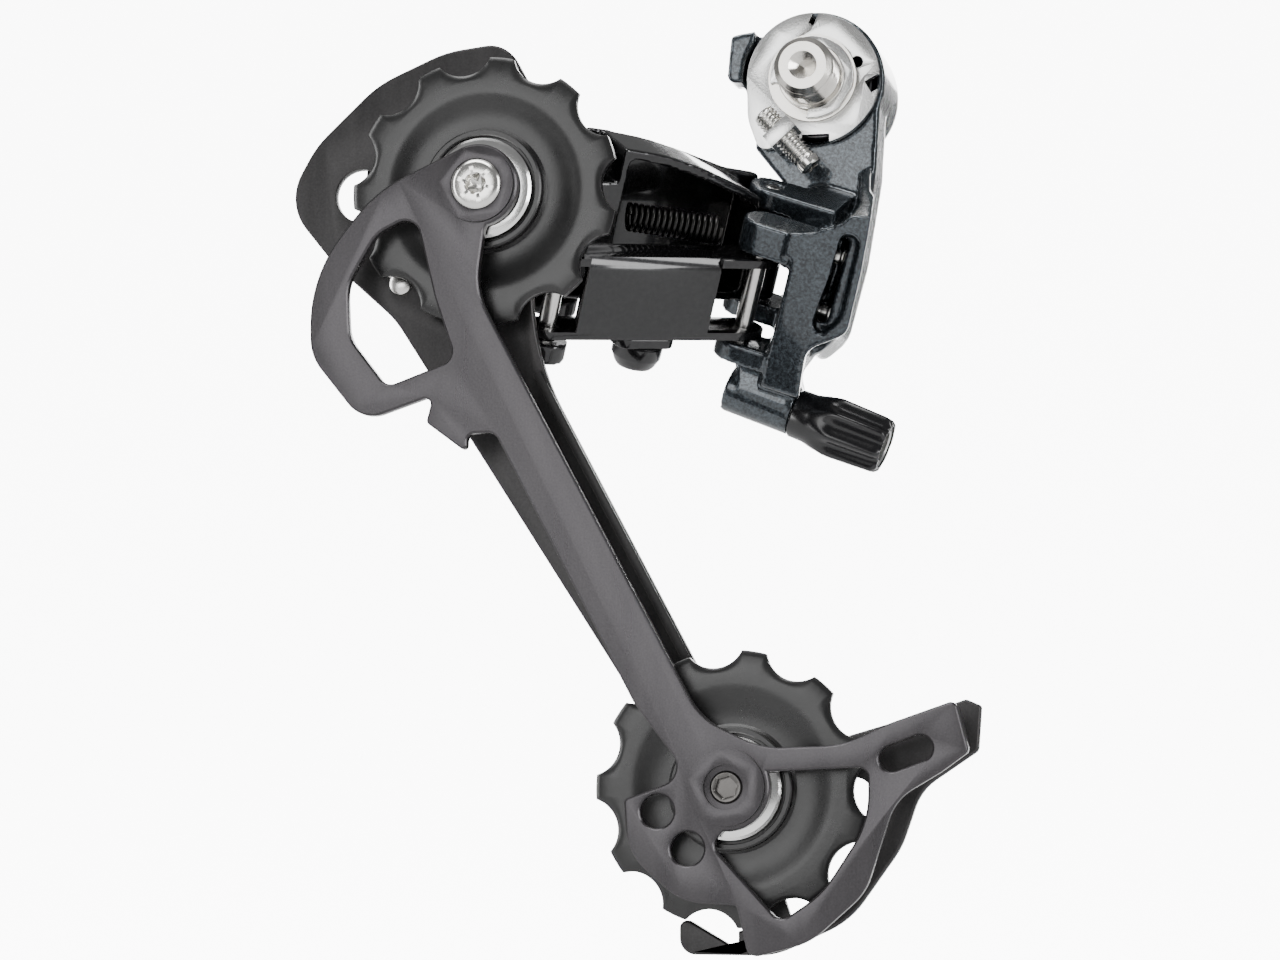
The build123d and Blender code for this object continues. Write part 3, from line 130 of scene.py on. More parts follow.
def skinned(name, rings, body, look, crease=32):
    """Skin over rings of places in mm. A ring of one place closes an end; when both ends are
    open rings, the last is joined to the first."""
    metal = bmesh.new()
    rows = [[metal.verts.new(spot / 1000) for spot in ring] for ring in rings]
    pairs = list(zip(rows, rows[1:]))
    if len(rows[0]) > 1 and len(rows[-1]) > 1:
        pairs.append((rows[-1], rows[0]))
    for near, far in pairs:
        sides = max(len(near), len(far))
        for side in range(sides):
            following = (side + 1) % sides
            if len(near) == 1:
                metal.faces.new((near[0], far[following], far[side]))
            elif len(far) == 1:
                metal.faces.new((near[side], near[following], far[0]))
            else:
                metal.faces.new((near[side], near[following], far[following], far[side]))
    bmesh.ops.recalc_face_normals(metal, faces=metal.faces)
    shape = bpy.data.meshes.new(name)
    metal.to_mesh(shape)
    metal.free()
    return placed(shape, name, body, look, crease)


def turned(name, steps, start, along, body, look, sides=96):
    """Piece turned about a line: steps are (distance, radius, style) in mm, a closed section
    when it neither starts nor ends at radius 0."""
    start, along = Vector(start), Vector(along).normalized()
    right = along.orthogonal().normalized()
    up = along.cross(right)
    rings = []
    for distance, radius, *style in steps:
        middle = start + along * distance
        ring = [middle]
        if radius > 0:
            ring = []
            for side in range(sides):
                angle = 2 * pi * side / sides
                reach = ring_radius(style[0] if style else "round", radius, angle, distance)
                ring.append(middle + (right * cos(angle) + up * sin(angle)) * reach)
        rings.append(ring)
    return skinned(name, rings, body, look)


def thread(low, high, radius, pitch):
    """Steps of a rolled thread between two distances, running out at both ends."""
    depth, rings = pitch * 0.6, round((high - low) / pitch * 9)
    steps = []
    for ring in range(rings + 1):
        distance = low + (high - low) * ring / rings
        fade = min(1.0, (distance - low) / pitch, (high - distance) / pitch)
        steps.append((distance, radius - depth * 0.5 * (1 - fade), (pitch, depth * fade)))
    return steps


def placed(shape, name, body, look, crease=32):
    """Object for a finished mesh, smooth except over hard edges, riding on its body."""
    for polygon in shape.polygons:
        polygon.use_smooth = True
    shape.set_sharp_from_angle(angle=radians(crease))
    shape.materials.clear()
    shape.materials.append(look)
    piece = bpy.data.objects.new(name, shape)
    bpy.context.scene.collection.objects.link(piece)
    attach(piece, body)
    return piece


def winding_tree():
    """Wire or thread ridge wound round a core: a spiral swept with a round or pointed section."""
    tree = bpy.data.node_groups.new("winding", "GeometryNodeTree")
    tree.interface.new_socket("Geometry", in_out="INPUT", socket_type="NodeSocketGeometry")
    for name, kind in (
        ("Turns", "NodeSocketFloat"), ("Coil radius", "NodeSocketFloat"), ("Length", "NodeSocketFloat"),
        ("Wire radius", "NodeSocketFloat"), ("Wire sides", "NodeSocketInt"),
        ("Steps per turn", "NodeSocketInt"), ("Start", "NodeSocketVector"),
        ("Turned by", "NodeSocketVector"), ("Finish", "NodeSocketMaterial"),
    ):
        tree.interface.new_socket(name, in_out="INPUT", socket_type=kind)
    tree.interface.new_socket("Geometry", in_out="OUTPUT", socket_type="NodeSocketGeometry")
    new, link = tree.nodes.new, tree.links.new
    given, out = new("NodeGroupInput"), new("NodeGroupOutput")
    spiral, section = new("GeometryNodeCurveSpiral"), new("GeometryNodeCurvePrimitiveCircle")
    sweep, move = new("GeometryNodeCurveToMesh"), new("GeometryNodeTransform")
    real, paint = new("GeometryNodeRealizeInstances"), new("GeometryNodeSetMaterial")
    smooth = new("GeometryNodeSetShadeSmooth")
    link(given.outputs["Turns"], spiral.inputs["Rotations"])
    link(given.outputs["Coil radius"], spiral.inputs["Start Radius"])
    link(given.outputs["Coil radius"], spiral.inputs["End Radius"])
    link(given.outputs["Length"], spiral.inputs["Height"])
    link(given.outputs["Steps per turn"], spiral.inputs["Resolution"])
    link(given.outputs["Wire radius"], section.inputs["Radius"])
    link(given.outputs["Wire sides"], section.inputs["Resolution"])
    link(spiral.outputs["Curve"], sweep.inputs["Curve"])
    link(section.outputs["Curve"], sweep.inputs["Profile Curve"])
    sweep.inputs["Fill Caps"].default_value = True
    link(sweep.outputs["Mesh"], move.inputs["Geometry"])
    link(given.outputs["Start"], move.inputs["Translation"])
    link(given.outputs["Turned by"], move.inputs["Rotation"])
    link(move.outputs["Geometry"], smooth.inputs["Geometry"])
    link(smooth.outputs["Geometry"], real.inputs["Geometry"])
    link(real.outputs["Geometry"], paint.inputs["Geometry"])
    link(given.outputs["Finish"], paint.inputs["Material"])
    link(paint.outputs["Geometry"], out.inputs["Geometry"])
    return tree


winding = winding_tree()


def wound(name, start, along, coil_radius, wire, turns, length, body, look, sides=14):
    """Coil of wire, or a thread's ridge, from start along a direction, all in mm."""
    along = Vector(along).normalized()
    carrier = bpy.data.objects.new(name, bpy.data.meshes.new(name))
    bpy.context.scene.collection.objects.link(carrier)
    winder = carrier.modifiers.new("winding", "NODES")
    winder.node_group = winding
    settings = {
        "Turns": float(turns), "Coil radius": coil_radius / 1000, "Length": length / 1000,
        "Wire radius": wire / 1000, "Wire sides": sides, "Steps per turn": 48,
        "Start": [c / 1000 for c in start], "Turned by": list(along.to_track_quat("Z", "Y").to_euler()),
        "Finish": look,
    }
    for socket in winding.interface.items_tree:
        if socket.name in settings and socket.in_out == "INPUT":
            winder[socket.identifier] = settings[socket.name]
    settled = carrier.evaluated_get(bpy.context.evaluated_depsgraph_get())
    shape = bpy.data.meshes.new_from_object(settled)
    carrier.modifiers.clear()
    bpy.data.objects.remove(carrier)
    return placed(shape, name, body, look, crease=50)


axle_steel = plated_steel("axle_steel", (0.76, 0.735, 0.69), 0.2, stain=0.14)
axle = turned(
    "hanger_axle",
    [(26.2, 0), (26.2, 2.5, "hexagon"), (29.3, 2.5, "hexagon"), (29.6, 2.9), (29.6, 7.4),
     (29.3, 7.9), (28.9, 8.4), (25.2, 8.4), (25.0, 8.2), (25.0, 5.5), (1.5, 5.5), (1.5, 4.8), (0.6, 4.8),
     (0.6, 5.5), (0.15, 5.5), (0.0, 5.35), (0.0, 4.7)] + thread(-8.2, -0.4, 5.0, 1.0)[::-1]
    + [(-8.3, 4.6), (-9.0, 3.9), (-9.0, 2.35), (-8.85, 2.15), (-7.1, 0.25), (-6.9, 0)],
    (0, 0, 0), (0, 1, 0), "hanger_side", axle_steel,
)
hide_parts("hanger_bolt")

# ---- Snap ring and collar ----
# The open ring is stamped from spring steel and sits in the axle's groove. Behind it the
# collar, a plain turned washer, is what the stop plate turns on.


def edged_copy(node, name, edge, body, look, crease=30, segments=3):
    """Copy of a hard-edged node with its sharp edges broken, as tumbling or pressing leaves them."""
    metal = bmesh.new()
    metal.from_mesh(nodes[node].data)
    bmesh.ops.remove_doubles(metal, verts=metal.verts, dist=2e-6)
    bmesh.ops.dissolve_limit(metal, angle_limit=radians(1.0), verts=metal.verts, edges=metal.edges)
    shape = bpy.data.meshes.new(name)
    metal.to_mesh(shape)
    metal.free()
    blank = bpy.data.objects.new(name, shape)
    bpy.context.scene.collection.objects.link(blank)
    rounding = blank.modifiers.new("edge", "BEVEL")
    rounding.width = edge / 1000
    rounding.segments = segments
    rounding.limit_method = "ANGLE"
    rounding.angle_limit = radians(crease)
    rounding.use_clamp_overlap = True
    rounding.harden_normals = False
    settled = blank.evaluated_get(bpy.context.evaluated_depsgraph_get())
    result = bpy.data.meshes.new_from_object(settled)
    blank.modifiers.clear()
    bpy.data.objects.remove(blank)
    piece = placed(result, name, body, look, crease=38)
    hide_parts(node)
    return piece


bright_pressing = plated_steel("bright_pressing", (0.82, 0.82, 0.81), 0.24, stain=0.14, depth=0.03)
edged_copy("bolt_snap_ring", "axle_snap_ring", 0.14, "hanger_side", bright_pressing)
nodes["stop_collar"].data.materials.clear()
nodes["stop_collar"].data.materials.append(axle_steel)

# ---- Stop plate ----
# Pressed steel plate that rests on the hanger's tab, with the notches and the folded ear
# that holds the body-angle screw.
stop_plate = edged_copy("stop_plate", "pressed_stop_plate", 0.22, "stop_plate_body", bright_pressing)

# ---- Body-angle screw ----
# Nickel-plated M4 screw with a cross recess, threaded nearly all along. It runs through the
# stop plate's ear and sets how far back the bracket rests.
screw_axis = Vector(record_joints["body_angle_adjust"]["axis"])
screw_nickel = plated_steel("screw_nickel", (0.82, 0.81, 0.78), 0.2, stain=0.2)


def cross_screw(name, node, tip, along, length, radius, pitch, body):
    """Threaded screw with a domed end and a cross recess in it."""
    screw = turned(
        name,
        [(0, 0), (0, radius * 0.6)] + thread(0.3, length - 1.5, radius, pitch)
        + [(length - 1.45, radius * 0.97), (length - 0.5, radius * 0.97), (length - 0.15, radius * 0.85),
           (length, radius * 0.7), (length, radius * 0.62, "cross"), (length - 0.9, radius * 0.56, "cross"),
           (length - 1.0, 0)],
        tip, along, body, screw_nickel, sides=64,
    )
    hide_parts(node)


cross_screw(
    "body_angle_cross_screw", "body_angle_screw", (-7.7, -2.6, -6.4), screw_axis, 12.6, 1.97, 0.7, "b_screw"
)

# ---- Bracket ----
# Die-cast aluminium body, painted in a hammered dark metallic, that swings on the axle
# and holds the inner ends of both links, the limit screws and the cable adjuster.


def cast_copy(node, name, grain, passes, body, look):
    """Copy of a node with the soft edges and filled corners of a casting."""
    metal = bmesh.new()
    metal.from_mesh(nodes[node].data)
    bmesh.ops.remove_doubles(metal, verts=metal.verts, dist=2e-6)
    shape = bpy.data.meshes.new(name)
    metal.to_mesh(shape)
    metal.free()
    blank = bpy.data.objects.new(name, shape)
    bpy.context.scene.collection.objects.link(blank)
    skin = blank.modifiers.new("skin", "REMESH")
    skin.mode = "VOXEL"
    skin.voxel_size = grain / 1000
    soft = blank.modifiers.new("soft", "SMOOTH")
    soft.factor = 0.5
    soft.iterations = passes
    settled = blank.evaluated_get(bpy.context.evaluated_depsgraph_get())
    result = bpy.data.meshes.new_from_object(settled)
    blank.modifiers.clear()
    bpy.data.objects.remove(blank)
    piece = placed(result, name, body, look, crease=180)
    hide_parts(node)
    return piece


def cast_paint(name, colour, light, grain, hammered, roughness, coat):
    """Glossy paint over a casting: fine mottled metal flake, hammered waviness and a clear coat."""
    look, place = new_finish(name)
    coloured_by(look, cloudy(look, place, grain, 5.0, 0.7), 0.38, colour, 0.68, light)
    bumped_by(look, cloudy(look, place, 700.0, 4.0, 0.6), 0.5, hammered)
    setting(look, "Metallic").default_value = 0.7
    setting(look, "Roughness").default_value = roughness
    setting(look, "Coat Weight").default_value = coat
    setting(look, "Coat Roughness").default_value = 0.07
    return look


hammered_paint = cast_paint(
    "hammered_blue_black", (0.008, 0.0105, 0.0135), (0.075, 0.093, 0.108), 2200.0, 0.16, 0.24, 0.7
)
bracket = cast_copy("bracket_body", "cast_bracket", 0.38, 4, "bracket", hammered_paint)

# ---- Bracket bushing, dust cap and spring ----
# Sintered sleeve pressed into the bore, a moulded cap behind the boss and the torsion
# spring wound round the bore.


def moulded(name, colour, light, roughness, grain, depth):
    """Filled plastic straight from the mould: fine grain, faint cloudiness and dust in it."""
    look, place = new_finish(name)
    dust = cloudy(look, place, 210.0, 8.0, 0.65)
    coloured_by(look, dust, 0.3, colour, 0.75, light)
    roughened_by(look, dust, roughness * 0.8, roughness * 1.25)
    bumped_by(look, cloudy(look, place, grain, 4.0), 0.5, depth)
    return look


sintered = plated_steel("sintered_bronze", (0.52, 0.42, 0.26), 0.45, stain=0.4, grain=4200.0, depth=0.05)
black_nylon = moulded("black_nylon", (0.012, 0.012, 0.013), (0.03, 0.03, 0.032), 0.36, 1900.0, 0.03)
spring_wire = plated_steel("spring_wire", (0.30, 0.30, 0.31), 0.28, stain=0.35)
for node, look in (("bracket_bushing", sintered), ("bracket_dust_cap", black_nylon)):
    nodes[node].data.materials.clear()
    nodes[node].data.materials.append(look)
bracket_coil = wound("bracket_coil", (0, 6.0, 0), (0, 1, 0), 8.85, 0.9, 5, 11.5, "bracket", spring_wire)
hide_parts("bracket_spring")

# ---- Link pins ----
# Hardened steel pins pressed into the castings, with rounded ends. All four are parallel,
# along the axis that both links swing about.
pin_axis = -Vector(record_joints["link_swing"]["axis"])
pin_steel = plated_steel("pin_steel", (0.7, 0.69, 0.67), 0.22, stain=0.2)
outward = (Vector((0, 1, 0)) - pin_axis * pin_axis.y).normalized()
across = outward.cross(pin_axis)
inner_pin, outer_pin, knuckle_pin = (
    Vector(record_joints[swing]["pos_m"]) * 1000
    for swing in ("inner_link_swing", "link_swing", "knuckle_swing")
)
outer_x, outer_y = (outer_pin - inner_pin).dot(across), (outer_pin - inner_pin).dot(outward)
link_x, link_y = (knuckle_pin - outer_pin).dot(across), (knuckle_pin - outer_pin).dot(outward)
pin_radius = 1.5


def by_pin(x, y, height):
    """Place in mm beside the inner bracket pin: across, outward and up its axis."""
    return inner_pin + across * x + outward * y + pin_axis * height


def link_pin(name, node, x, y, low, high, body):
    """Pin with rounded ends between two heights."""
    length = high - low
    pin = turned(
        name,
        [(0, 0), (0, pin_radius - 0.4), (0.4, pin_radius), (length - 0.4, pin_radius),
         (length, pin_radius - 0.4), (length, 0)],
        by_pin(x, y, low), pin_axis, body, pin_steel, sides=48,
    )
    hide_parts(node)


link_pin("inner_bracket_rivet", "inner_bracket_pin", 0, 0, -9.9, 11.7, "bracket")
link_pin("outer_bracket_rivet", "outer_bracket_pin", outer_x, outer_y, -6.6, 15.6, "bracket")
link_pin(
    "outer_knuckle_rivet", "outer_knuckle_pin", outer_x + link_x, outer_y + link_y, -6.6, 20.6, "knuckle"
)
edged_copy("inner_knuckle_pin", "inner_knuckle_rivet", 0.15, "knuckle", pin_steel)

# ---- Limit screws ----
# Two small cross-head screws threaded through the bracket. Their tips face the outer
# link and set how far the links swing.
for label, node, height, body in (
    ("high_limit_cross_screw", "high_limit_screw", 9.8, "high_screw"),
    ("low_limit_cross_screw", "low_limit_screw", -0.2, "low_screw"),
):
    cross_screw(label, node, by_pin(4.4, 6.0, height), across, 8.0, 1.6, 0.7, body)

# ---- Cable adjuster ----
# Steel tube screwed into the bracket, with a fluted nylon barrel pressed on it. The click
# ring and its light spring sit hidden in the barrel's neck.
adjuster_axis = Vector(record_joints["adjuster_turn"]["axis"])
boss_to_joint = 16.0
adjuster_left = Vector(record_joints["adjuster_turn"]["pos_m"]) * 1000 - adjuster_axis * boss_to_joint
tube = turned(
    "adjuster_threaded_tube",
    [(4.0, 1.3), (4.0, 2.2)] + thread(4.2, 14.0, 2.5, 0.8)
    + [(14.1, 2.45), (17.0, 2.45), (17.0, 3.5), (27.6, 3.5), (27.8, 3.3), (27.8, 2.75), (27.6, 2.55),
       (21.8, 2.55), (21.8, 1.3)],
    adjuster_left, adjuster_axis, "adjuster", bright_pressing, sides=64,
)
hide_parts("adjuster_tube")


def fluted_barrel(name, start, along, body, look):
    """Grip with eight flutes that run out towards its tapered neck."""
    section = [
        (11.95, 3.6, 0), (11.95, 3.85, 0), (12.2, 4.05, 0), (14.6, 4.1, 0), (15.4, 4.3, 0), (16.6, 4.7, 0.1),
        (17.8, 5.05, 0.45), (18.8, 5.28, 0.85), (19.6, 5.28, 1.0), (26.6, 5.0, 1.0), (27.3, 4.85, 1.0),
        (27.8, 4.45, 0.8), (28.0, 4.15, 0.4), (28.0, 3.5, 0), (17.0, 3.5, 0), (17.0, 2.5, 0), (15.0, 2.5, 0),
        (15.0, 3.6, 0),
    ]
    start, along = Vector(start), Vector(along).normalized()
    right = along.orthogonal().normalized()
    up = along.cross(right)
    flutes, flute_depth, sides = 8, 0.95, 160
    rings = []
    for distance, radius, flute in section:
        ring = []
        for side in range(sides):
            angle = 2 * pi * side / sides
            wave = (0.5 + 0.5 * cos(flutes * angle)) ** 0.8
            reach = radius - flute_depth * flute * wave
            ring.append(start + along * distance + (right * cos(angle) + up * sin(angle)) * reach)
        rings.append(ring)
    return skinned(name, rings, body, look, crease=40)


gloss_nylon = moulded("gloss_nylon", (0.005, 0.005, 0.006), (0.01, 0.01, 0.011), 0.2, 1500.0, 0.015)
barrel = fluted_barrel("adjuster_grip", adjuster_left, adjuster_axis, "adjuster", gloss_nylon)
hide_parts("adjuster_barrel")
edged_copy("adjuster_click_ring", "click_ring", 0.1, "bracket", black_nylon)
adjuster_coil = wound(
    "adjuster_coil", adjuster_left + adjuster_axis * 12.2, adjuster_axis, 3.05, 0.25, 1.87, 1.4,
    "bracket", spring_wire, 10,
)
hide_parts("adjuster_spring")

# ---- Inner link and cable clamp ----
# Pressed steel channel, painted gloss black, between the inner pins. The clamp's bolt and
# washer are screwed to its lower flange.
gloss_black = cast_paint("gloss_black", (0.006, 0.006, 0.007), (0.016, 0.016, 0.017), 1500.0, 0.02, 0.22, 0.7)
inner_channel = edged_copy("inner_link", "pressed_inner_link", 0.45, "inner_link_body", gloss_black)
clamp_along = 0.52
clamp_spot = (link_x * clamp_along, link_y * clamp_along)
edged_copy("cable_clamp_washer", "clamp_washer", 0.3, "inner_link_body", gloss_black)
clamp_bolt = turned(
    "clamp_bolt",
    [(0, 0), (0, 2.5), (1.6, 2.5), (1.6, 3.9), (1.8, 4.1), (3.6, 4.1), (3.9, 3.95), (4.9, 3.5), (5.4, 3.15),
     (5.6, 2.95), (5.6, 2.9), (5.5, 2.5, "hexagon"), (3.0, 2.5, "hexagon"), (3.0, 0)],
    by_pin(*clamp_spot, -5.7), -pin_axis, "inner_link_body", gloss_black, sides=72,
)
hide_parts("cable_clamp_bolt")

# ---- Outer link ----
# Die-cast cover with a thin rim, eyes for the outer pins and an open inner side, painted
# gloss black.
outer_cover = cast_copy("outer_link", "cast_outer_link", 0.32, 4, "outer_link_body", gloss_black)

# ---- Knuckle ----
# Die-cast housing for the cage spring with ears for both links, its sintered bushing, the
# spring itself and the pressed cover over the shaft's end.
knuckle = cast_copy("knuckle_body", "cast_knuckle", 0.34, 4, "knuckle", gloss_black)
nodes["knuckle_bushing"].data.materials.clear()
nodes["knuckle_bushing"].data.materials.append(sintered)
cage_x, cage_y, cage_z = Vector(record_joints["cage_pivot"]["pos_m"]) * 1000
cage_coil = wound(
    "cage_coil", (cage_x, cage_y - 6.0, cage_z), (0, 1, 0), 8.9, 1.0, 5, 12.0, "knuckle", spring_wire
)
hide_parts("cage_spring")
edged_copy("knuckle_cover", "shaft_cover", 0.3, "knuckle", black_nylon)

# ---- Return spring ----
# Tension coil of blackened wire, close wound, that lies across the links' diagonal and
# pulls them back.
diagonal = Vector((outer_x + link_x, outer_y + link_y))
spring_way = (across * diagonal.x + outward * diagonal.y).normalized()
coil_start = by_pin(0, 0, 11.1) + spring_way * 7.6
blackened_wire = plated_steel("blackened_wire", (0.035, 0.034, 0.033), 0.3, stain=0.3)
return_coil = wound("return_coil", coil_start, spring_way, 2.0, 0.4, 16, 15.2, "bracket", blackened_wire, 12)
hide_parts("return_spring")

# ---- Cage shaft ----
# Steel shaft riveted to the outer cage plate and held in the knuckle by an open ring. The
# bright rivet beside it is the one that stops the cage's swing.
dark_steel = plated_steel("dark_steel", (0.13, 0.125, 0.12), 0.3, stain=0.3)
for node, look in (("cage_shaft", dark_steel), ("cage_shaft_ring", spring_wire)):
    nodes[node].data.materials.clear()
    nodes[node].data.materials.append(look)
stop_rivet = turned(
    "cage_stop_rivet", [(0, 0), (0, 1.3), (0.25, 1.75), (0.7, 1.9), (7.9, 1.9), (8.0, 1.8), (8.0, 0)],
    (-59.0, -41.0, -39.0), (0, 1, 0), "cage", pin_steel, sides=48,
)
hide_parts("cage_stop_pin")

# ---- Cage plates ----
# Both plates are pressed from steel sheet with rolled edges and finished in a satin
# charcoal coating.


def charcoal_coating(name, colour, light, roughness):
    """Satin coating on sheet steel: fine light specks, soft wiping marks and an orange skin."""
    look, place = new_finish(name)
    link = look.node_tree.links.new
    turn = look.node_tree.nodes.new("ShaderNodeMapping")
    turn.inputs["Rotation"].default_value = (0, radians(27), 0)
    turn.inputs["Scale"].default_value = (1.0, 1.0, 0.16)
    link(place, turn.inputs["Vector"])
    wipes = cloudy(look, turn.outputs["Vector"], 260.0, 6.0)
    specks = cloudy(look, place, 3200.0, 2.0)
    both = look.node_tree.nodes.new("ShaderNodeMix")
    both.data_type = "FLOAT"
    both.inputs["Factor"].default_value = 0.35
    link(wipes, both.inputs["A"])
    link(specks, both.inputs["B"])
    coloured_by(look, both.outputs["Result"], 0.3, colour, 0.72, light)
    roughened_by(look, wipes, roughness * 0.8, roughness * 1.25)
    bumped_by(look, specks, 0.35, 0.03)
    setting(look, "Metallic").default_value = 0.75
    return look


charcoal = charcoal_coating("satin_charcoal", (0.042, 0.0395, 0.0425), (0.066, 0.0625, 0.066), 0.28)
inner_plate = edged_copy("cage_inner_plate", "pressed_inner_plate", 0.32, "cage", charcoal)
# The outer plate's coating is a darker copy of the satin charcoal: partly its own rougher finish, partly
# painted shade for the plate's angle away from the light.
rough_charcoal_with_painted_shade = charcoal_coating("rough_charcoal_with_painted_shade", (0.024, 0.023, 0.0235), (0.046, 0.0445, 0.045), 0.38)
outer_plate = edged_copy("cage_outer_plate", "pressed_outer_plate", 0.32, "cage", rough_charcoal_with_painted_shade)

# ---- Pulleys ----
# Moulded nylon wheels with eleven flat-tipped teeth, a raised flat ring, dished sides and
# a hub with a lip round each steel dust cap.


teeth = 11


def tooth_reach(angle):
    """Outline radius in mm at an angle from a tooth's middle."""
    tip, root, half, step = 21.09, 18.49, radians(5.08), 2 * pi / teeth
    away = abs((angle + step / 2) % step - step / 2)
    if away < half:
        return tip
    valley = step / 2 - half
    middle = (tip * tip - root * root) / (2 * (tip * cos(valley) - root))
    reach = middle - root
    off = step / 2 - away
    return middle * cos(off) - sqrt(max(reach * reach - (middle * sin(off)) ** 2, 0.0))


def pulley_wheel(name, middle, first_tooth, dish, body, look):
    """Wheel as one skin: bore, hub, lip, groove, dish, flat ring and tapered teeth."""
    half = [
        (3.6, 2.45, 0), (3.75, 2.6, 0), (4.6, 2.6, 0), (4.6, 1.4, 0), (8.4, 1.4, 0), (8.4, 2.45, 0),
        (8.55, 2.6, 0), (9.15, 2.6, 0), (9.4, 2.35, 0), (9.45, 1.15 - dish * 0.4, 0), (9.9, 1.15 - dish, 0),
        (10.6, 1.15 - dish, 0), (11.6, 1.15 - dish * 0.93, 0), (12.6, 1.15 - dish * 0.78, 0),
        (13.5, 1.15 - dish * 0.56, 0), (14.3, 1.15 - dish * 0.32, 0), (15.0, 1.15 - dish * 0.12, 0),
        (15.6, 1.15 - dish * 0.02, 0), (16.1, 1.15, 0), (17.4, 1.15, 0), (17.4, 1.13, 0.35),
        (17.4, 0.98, 0.75), (17.4, 0.82, 0.96), (17.4, 0.7, 1.0),
    ]
    section = half + [(radius, -width, blend) for radius, width, blend in reversed(half)]
    sides = teeth * 32
    rings = []
    for radius, width, blend in section:
        ring = []
        for side in range(sides):
            angle = 2 * pi * side / sides
            reach = radius + (tooth_reach(angle) - radius) * blend
            turn = angle + radians(first_tooth)
            ring.append(middle + Vector((reach * cos(turn), width, reach * sin(turn))))
        rings.append(ring)
    return skinned(name, rings, body, look, crease=28)


pulley_nylon = moulded("pulley_nylon", (0.007, 0.007, 0.0074), (0.014, 0.0137, 0.0137), 0.28, 1500.0, 0.02)
cap_steel = plated_steel("cap_steel", (0.86, 0.86, 0.85), 0.16, stain=0.08)
for label, tooth, dish in (("guide", 82.7, 0.95), ("tension", 80.7, 0.7)):
    middle = Vector(record_joints[label + "_spin"]["pos_m"]) * 1000
    body = label + "_wheel"
    wheel = pulley_wheel(label + "_pulley_wheel", middle, tooth, dish, body, pulley_nylon)
    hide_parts(label + "_pulley")
    for side, edge in ((-1, "inner"), (1, "outer")):
        cap = turned(
            label + "_" + edge + "_cap",
            [(1.4, 4.6), (3.2, 4.6), (3.5, 4.75), (3.6, 5.2), (3.5, 6.6), (3.3, 7.5), (2.9, 7.9), (2.4, 8.0),
             (1.4, 8.0)],
            middle, (0, side, 0), body, cap_steel,
        )
    nodes[label + "_pulley_bushing"].data.materials.clear()
    nodes[label + "_pulley_bushing"].data.materials.append(sintered)
    if label == "guide":
        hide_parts("guide_pulley_caps")
    else:
        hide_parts("tension_pulley_caps")

# ---- Pulley bolts ----
# Button-head bolts with hexagon sockets: the guide pulley's is put in from the inboard
# side and the tension pulley's from the outboard side.
guide_spin = record_joints["guide_spin"]["pos_m"]
guide_bolt = turned(
    "guide_bolt",
    [(0, 0), (0, 2.5), (11.9, 2.5), (11.9, 3.8), (12.0, 3.9), (12.7, 3.9), (13.1, 3.6), (13.3, 3.1),
     (13.3, 1.75), (13.15, 1.5, "hexagon"), (10.9, 1.5, "hexagon"), (10.8, 1.45), (9.9, 0)],
    (guide_spin[0] * 1000, -38.6, guide_spin[2] * 1000), (0, -1, 0), "cage", screw_nickel, sides=72,
)
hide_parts("guide_pulley_bolt")
tension_spin = record_joints["tension_spin"]["pos_m"]
tension_bolt = turned(
    "tension_bolt",
    [(1.0, 0), (1.0, 1.45, "hexagon"), (0.1, 1.5, "hexagon"), (0, 1.8), (0, 2.2), (0.35, 2.5), (12.6, 2.5),
     (12.6, 3.7), (12.8, 3.9), (14.1, 3.9), (14.5, 3.5), (14.6, 3.1), (14.6, 1.8), (14.5, 1.5, "hexagon"),
     (13.0, 1.5, "hexagon"), (13.0, 0)],
    (tension_spin[0] * 1000, -51.0, tension_spin[2] * 1000), (0, 1, 0), "cage", dark_steel, sides=72,
)
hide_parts("tension_pulley_bolt")

# ---- Floor, light and camera ----
# A pale floor, a lit paper wall just wide enough for the view, and soft boxes in front of,
# above and beside the part.
def paper_sheet(name, corners, glow):
    """Flat sheet of white paper with four corners, lit from behind when it glows."""
    paper = bpy.data.materials.new(name)
    paper.use_nodes = True
    setting(paper, "Base Color").default_value = (0.9, 0.9, 0.9, 1)
    setting(paper, "Roughness").default_value = 0.8
    setting(paper, "Emission Color").default_value = (1, 1, 1, 1)
    setting(paper, "Emission Strength").default_value = glow
    shape = bpy.data.meshes.new(name)
    shape.from_pydata(corners, [], [(0, 1, 2, 3)])
    shape.materials.append(paper)
    sheet = bpy.data.objects.new(name, shape)
    bpy.context.scene.collection.objects.link(sheet)


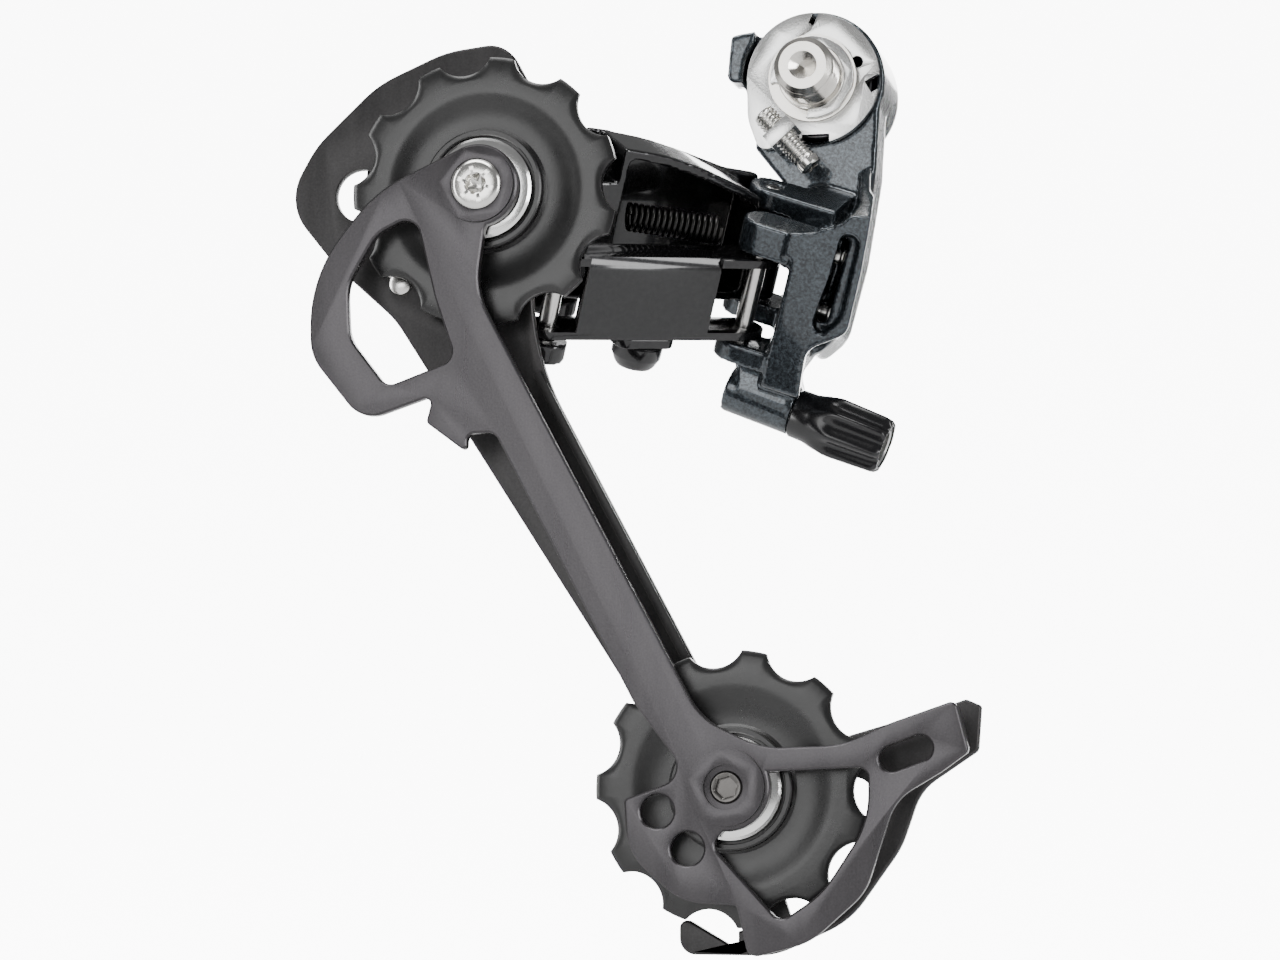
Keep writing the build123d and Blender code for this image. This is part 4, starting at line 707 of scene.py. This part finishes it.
ground, back = -0.21, 2.0
floor_side, floor_front = 2.5, -2.5
paper_sheet(
    "pale_floor",
    [(-floor_side, floor_front, ground), (floor_side, floor_front, ground), (floor_side, back, ground),
     (-floor_side, back, ground)],
    0.0,
)
wall_left, wall_right, wall_top = -1.15, 0.22, 0.85
paper_sheet(
    "paper_wall",
    [(wall_left, back, ground), (wall_right, back, ground), (wall_right, back, wall_top),
     (wall_left, back, wall_top)],
    9.0,
)
world = bpy.data.worlds.new("studio")
bpy.context.scene.world = world
world.use_nodes = True
world.node_tree.nodes["Background"].inputs["Color"].default_value = (1, 1, 1, 1)
world.node_tree.nodes["Background"].inputs["Strength"].default_value = 0.22


def soft_box(name, place, aim, width, height, power):
    """Soft box at a place, turned towards another."""
    lamp = bpy.data.lights.new(name, "AREA")
    lamp.shape = "RECTANGLE"
    lamp.size, lamp.size_y = width, height
    lamp.energy = power
    holder = bpy.data.objects.new(name, lamp)
    holder.location = place
    holder.rotation_euler = (Vector(aim) - Vector(place)).to_track_quat("-Z", "Y").to_euler()
    bpy.context.scene.collection.objects.link(holder)


part_middle = (-0.02, -0.02, -0.07)
soft_box("front_box", (-0.26, -1.2, 0.1), part_middle, 0.55, 0.45, 3.4)
soft_box("top_box", (-0.1, -0.3, 0.75), part_middle, 0.8, 0.4, 9)
soft_box("left_box", (-0.85, -0.55, 0.15), part_middle, 0.2, 0.9, 6)
soft_box("right_box", (0.95, -0.35, 0.05), part_middle, 0.2, 0.9, 7)

target = Vector((-0.01989, -0.0445, -0.07126))
azimuth, elevation, distance = radians(11.13), radians(-6.2), 0.6606
lens = bpy.data.cameras.new("camera")
lens.sensor_width = 36
lens.lens = 120.97
lens.clip_start = 0.01
camera = bpy.data.objects.new("camera", lens)
away = Vector((sin(azimuth) * cos(elevation), -cos(azimuth) * cos(elevation), sin(elevation)))
camera.location = target + away * distance
camera.rotation_euler = (-away).to_track_quat("-Z", "Y").to_euler()
bpy.context.scene.collection.objects.link(camera)
bpy.context.scene.camera = camera
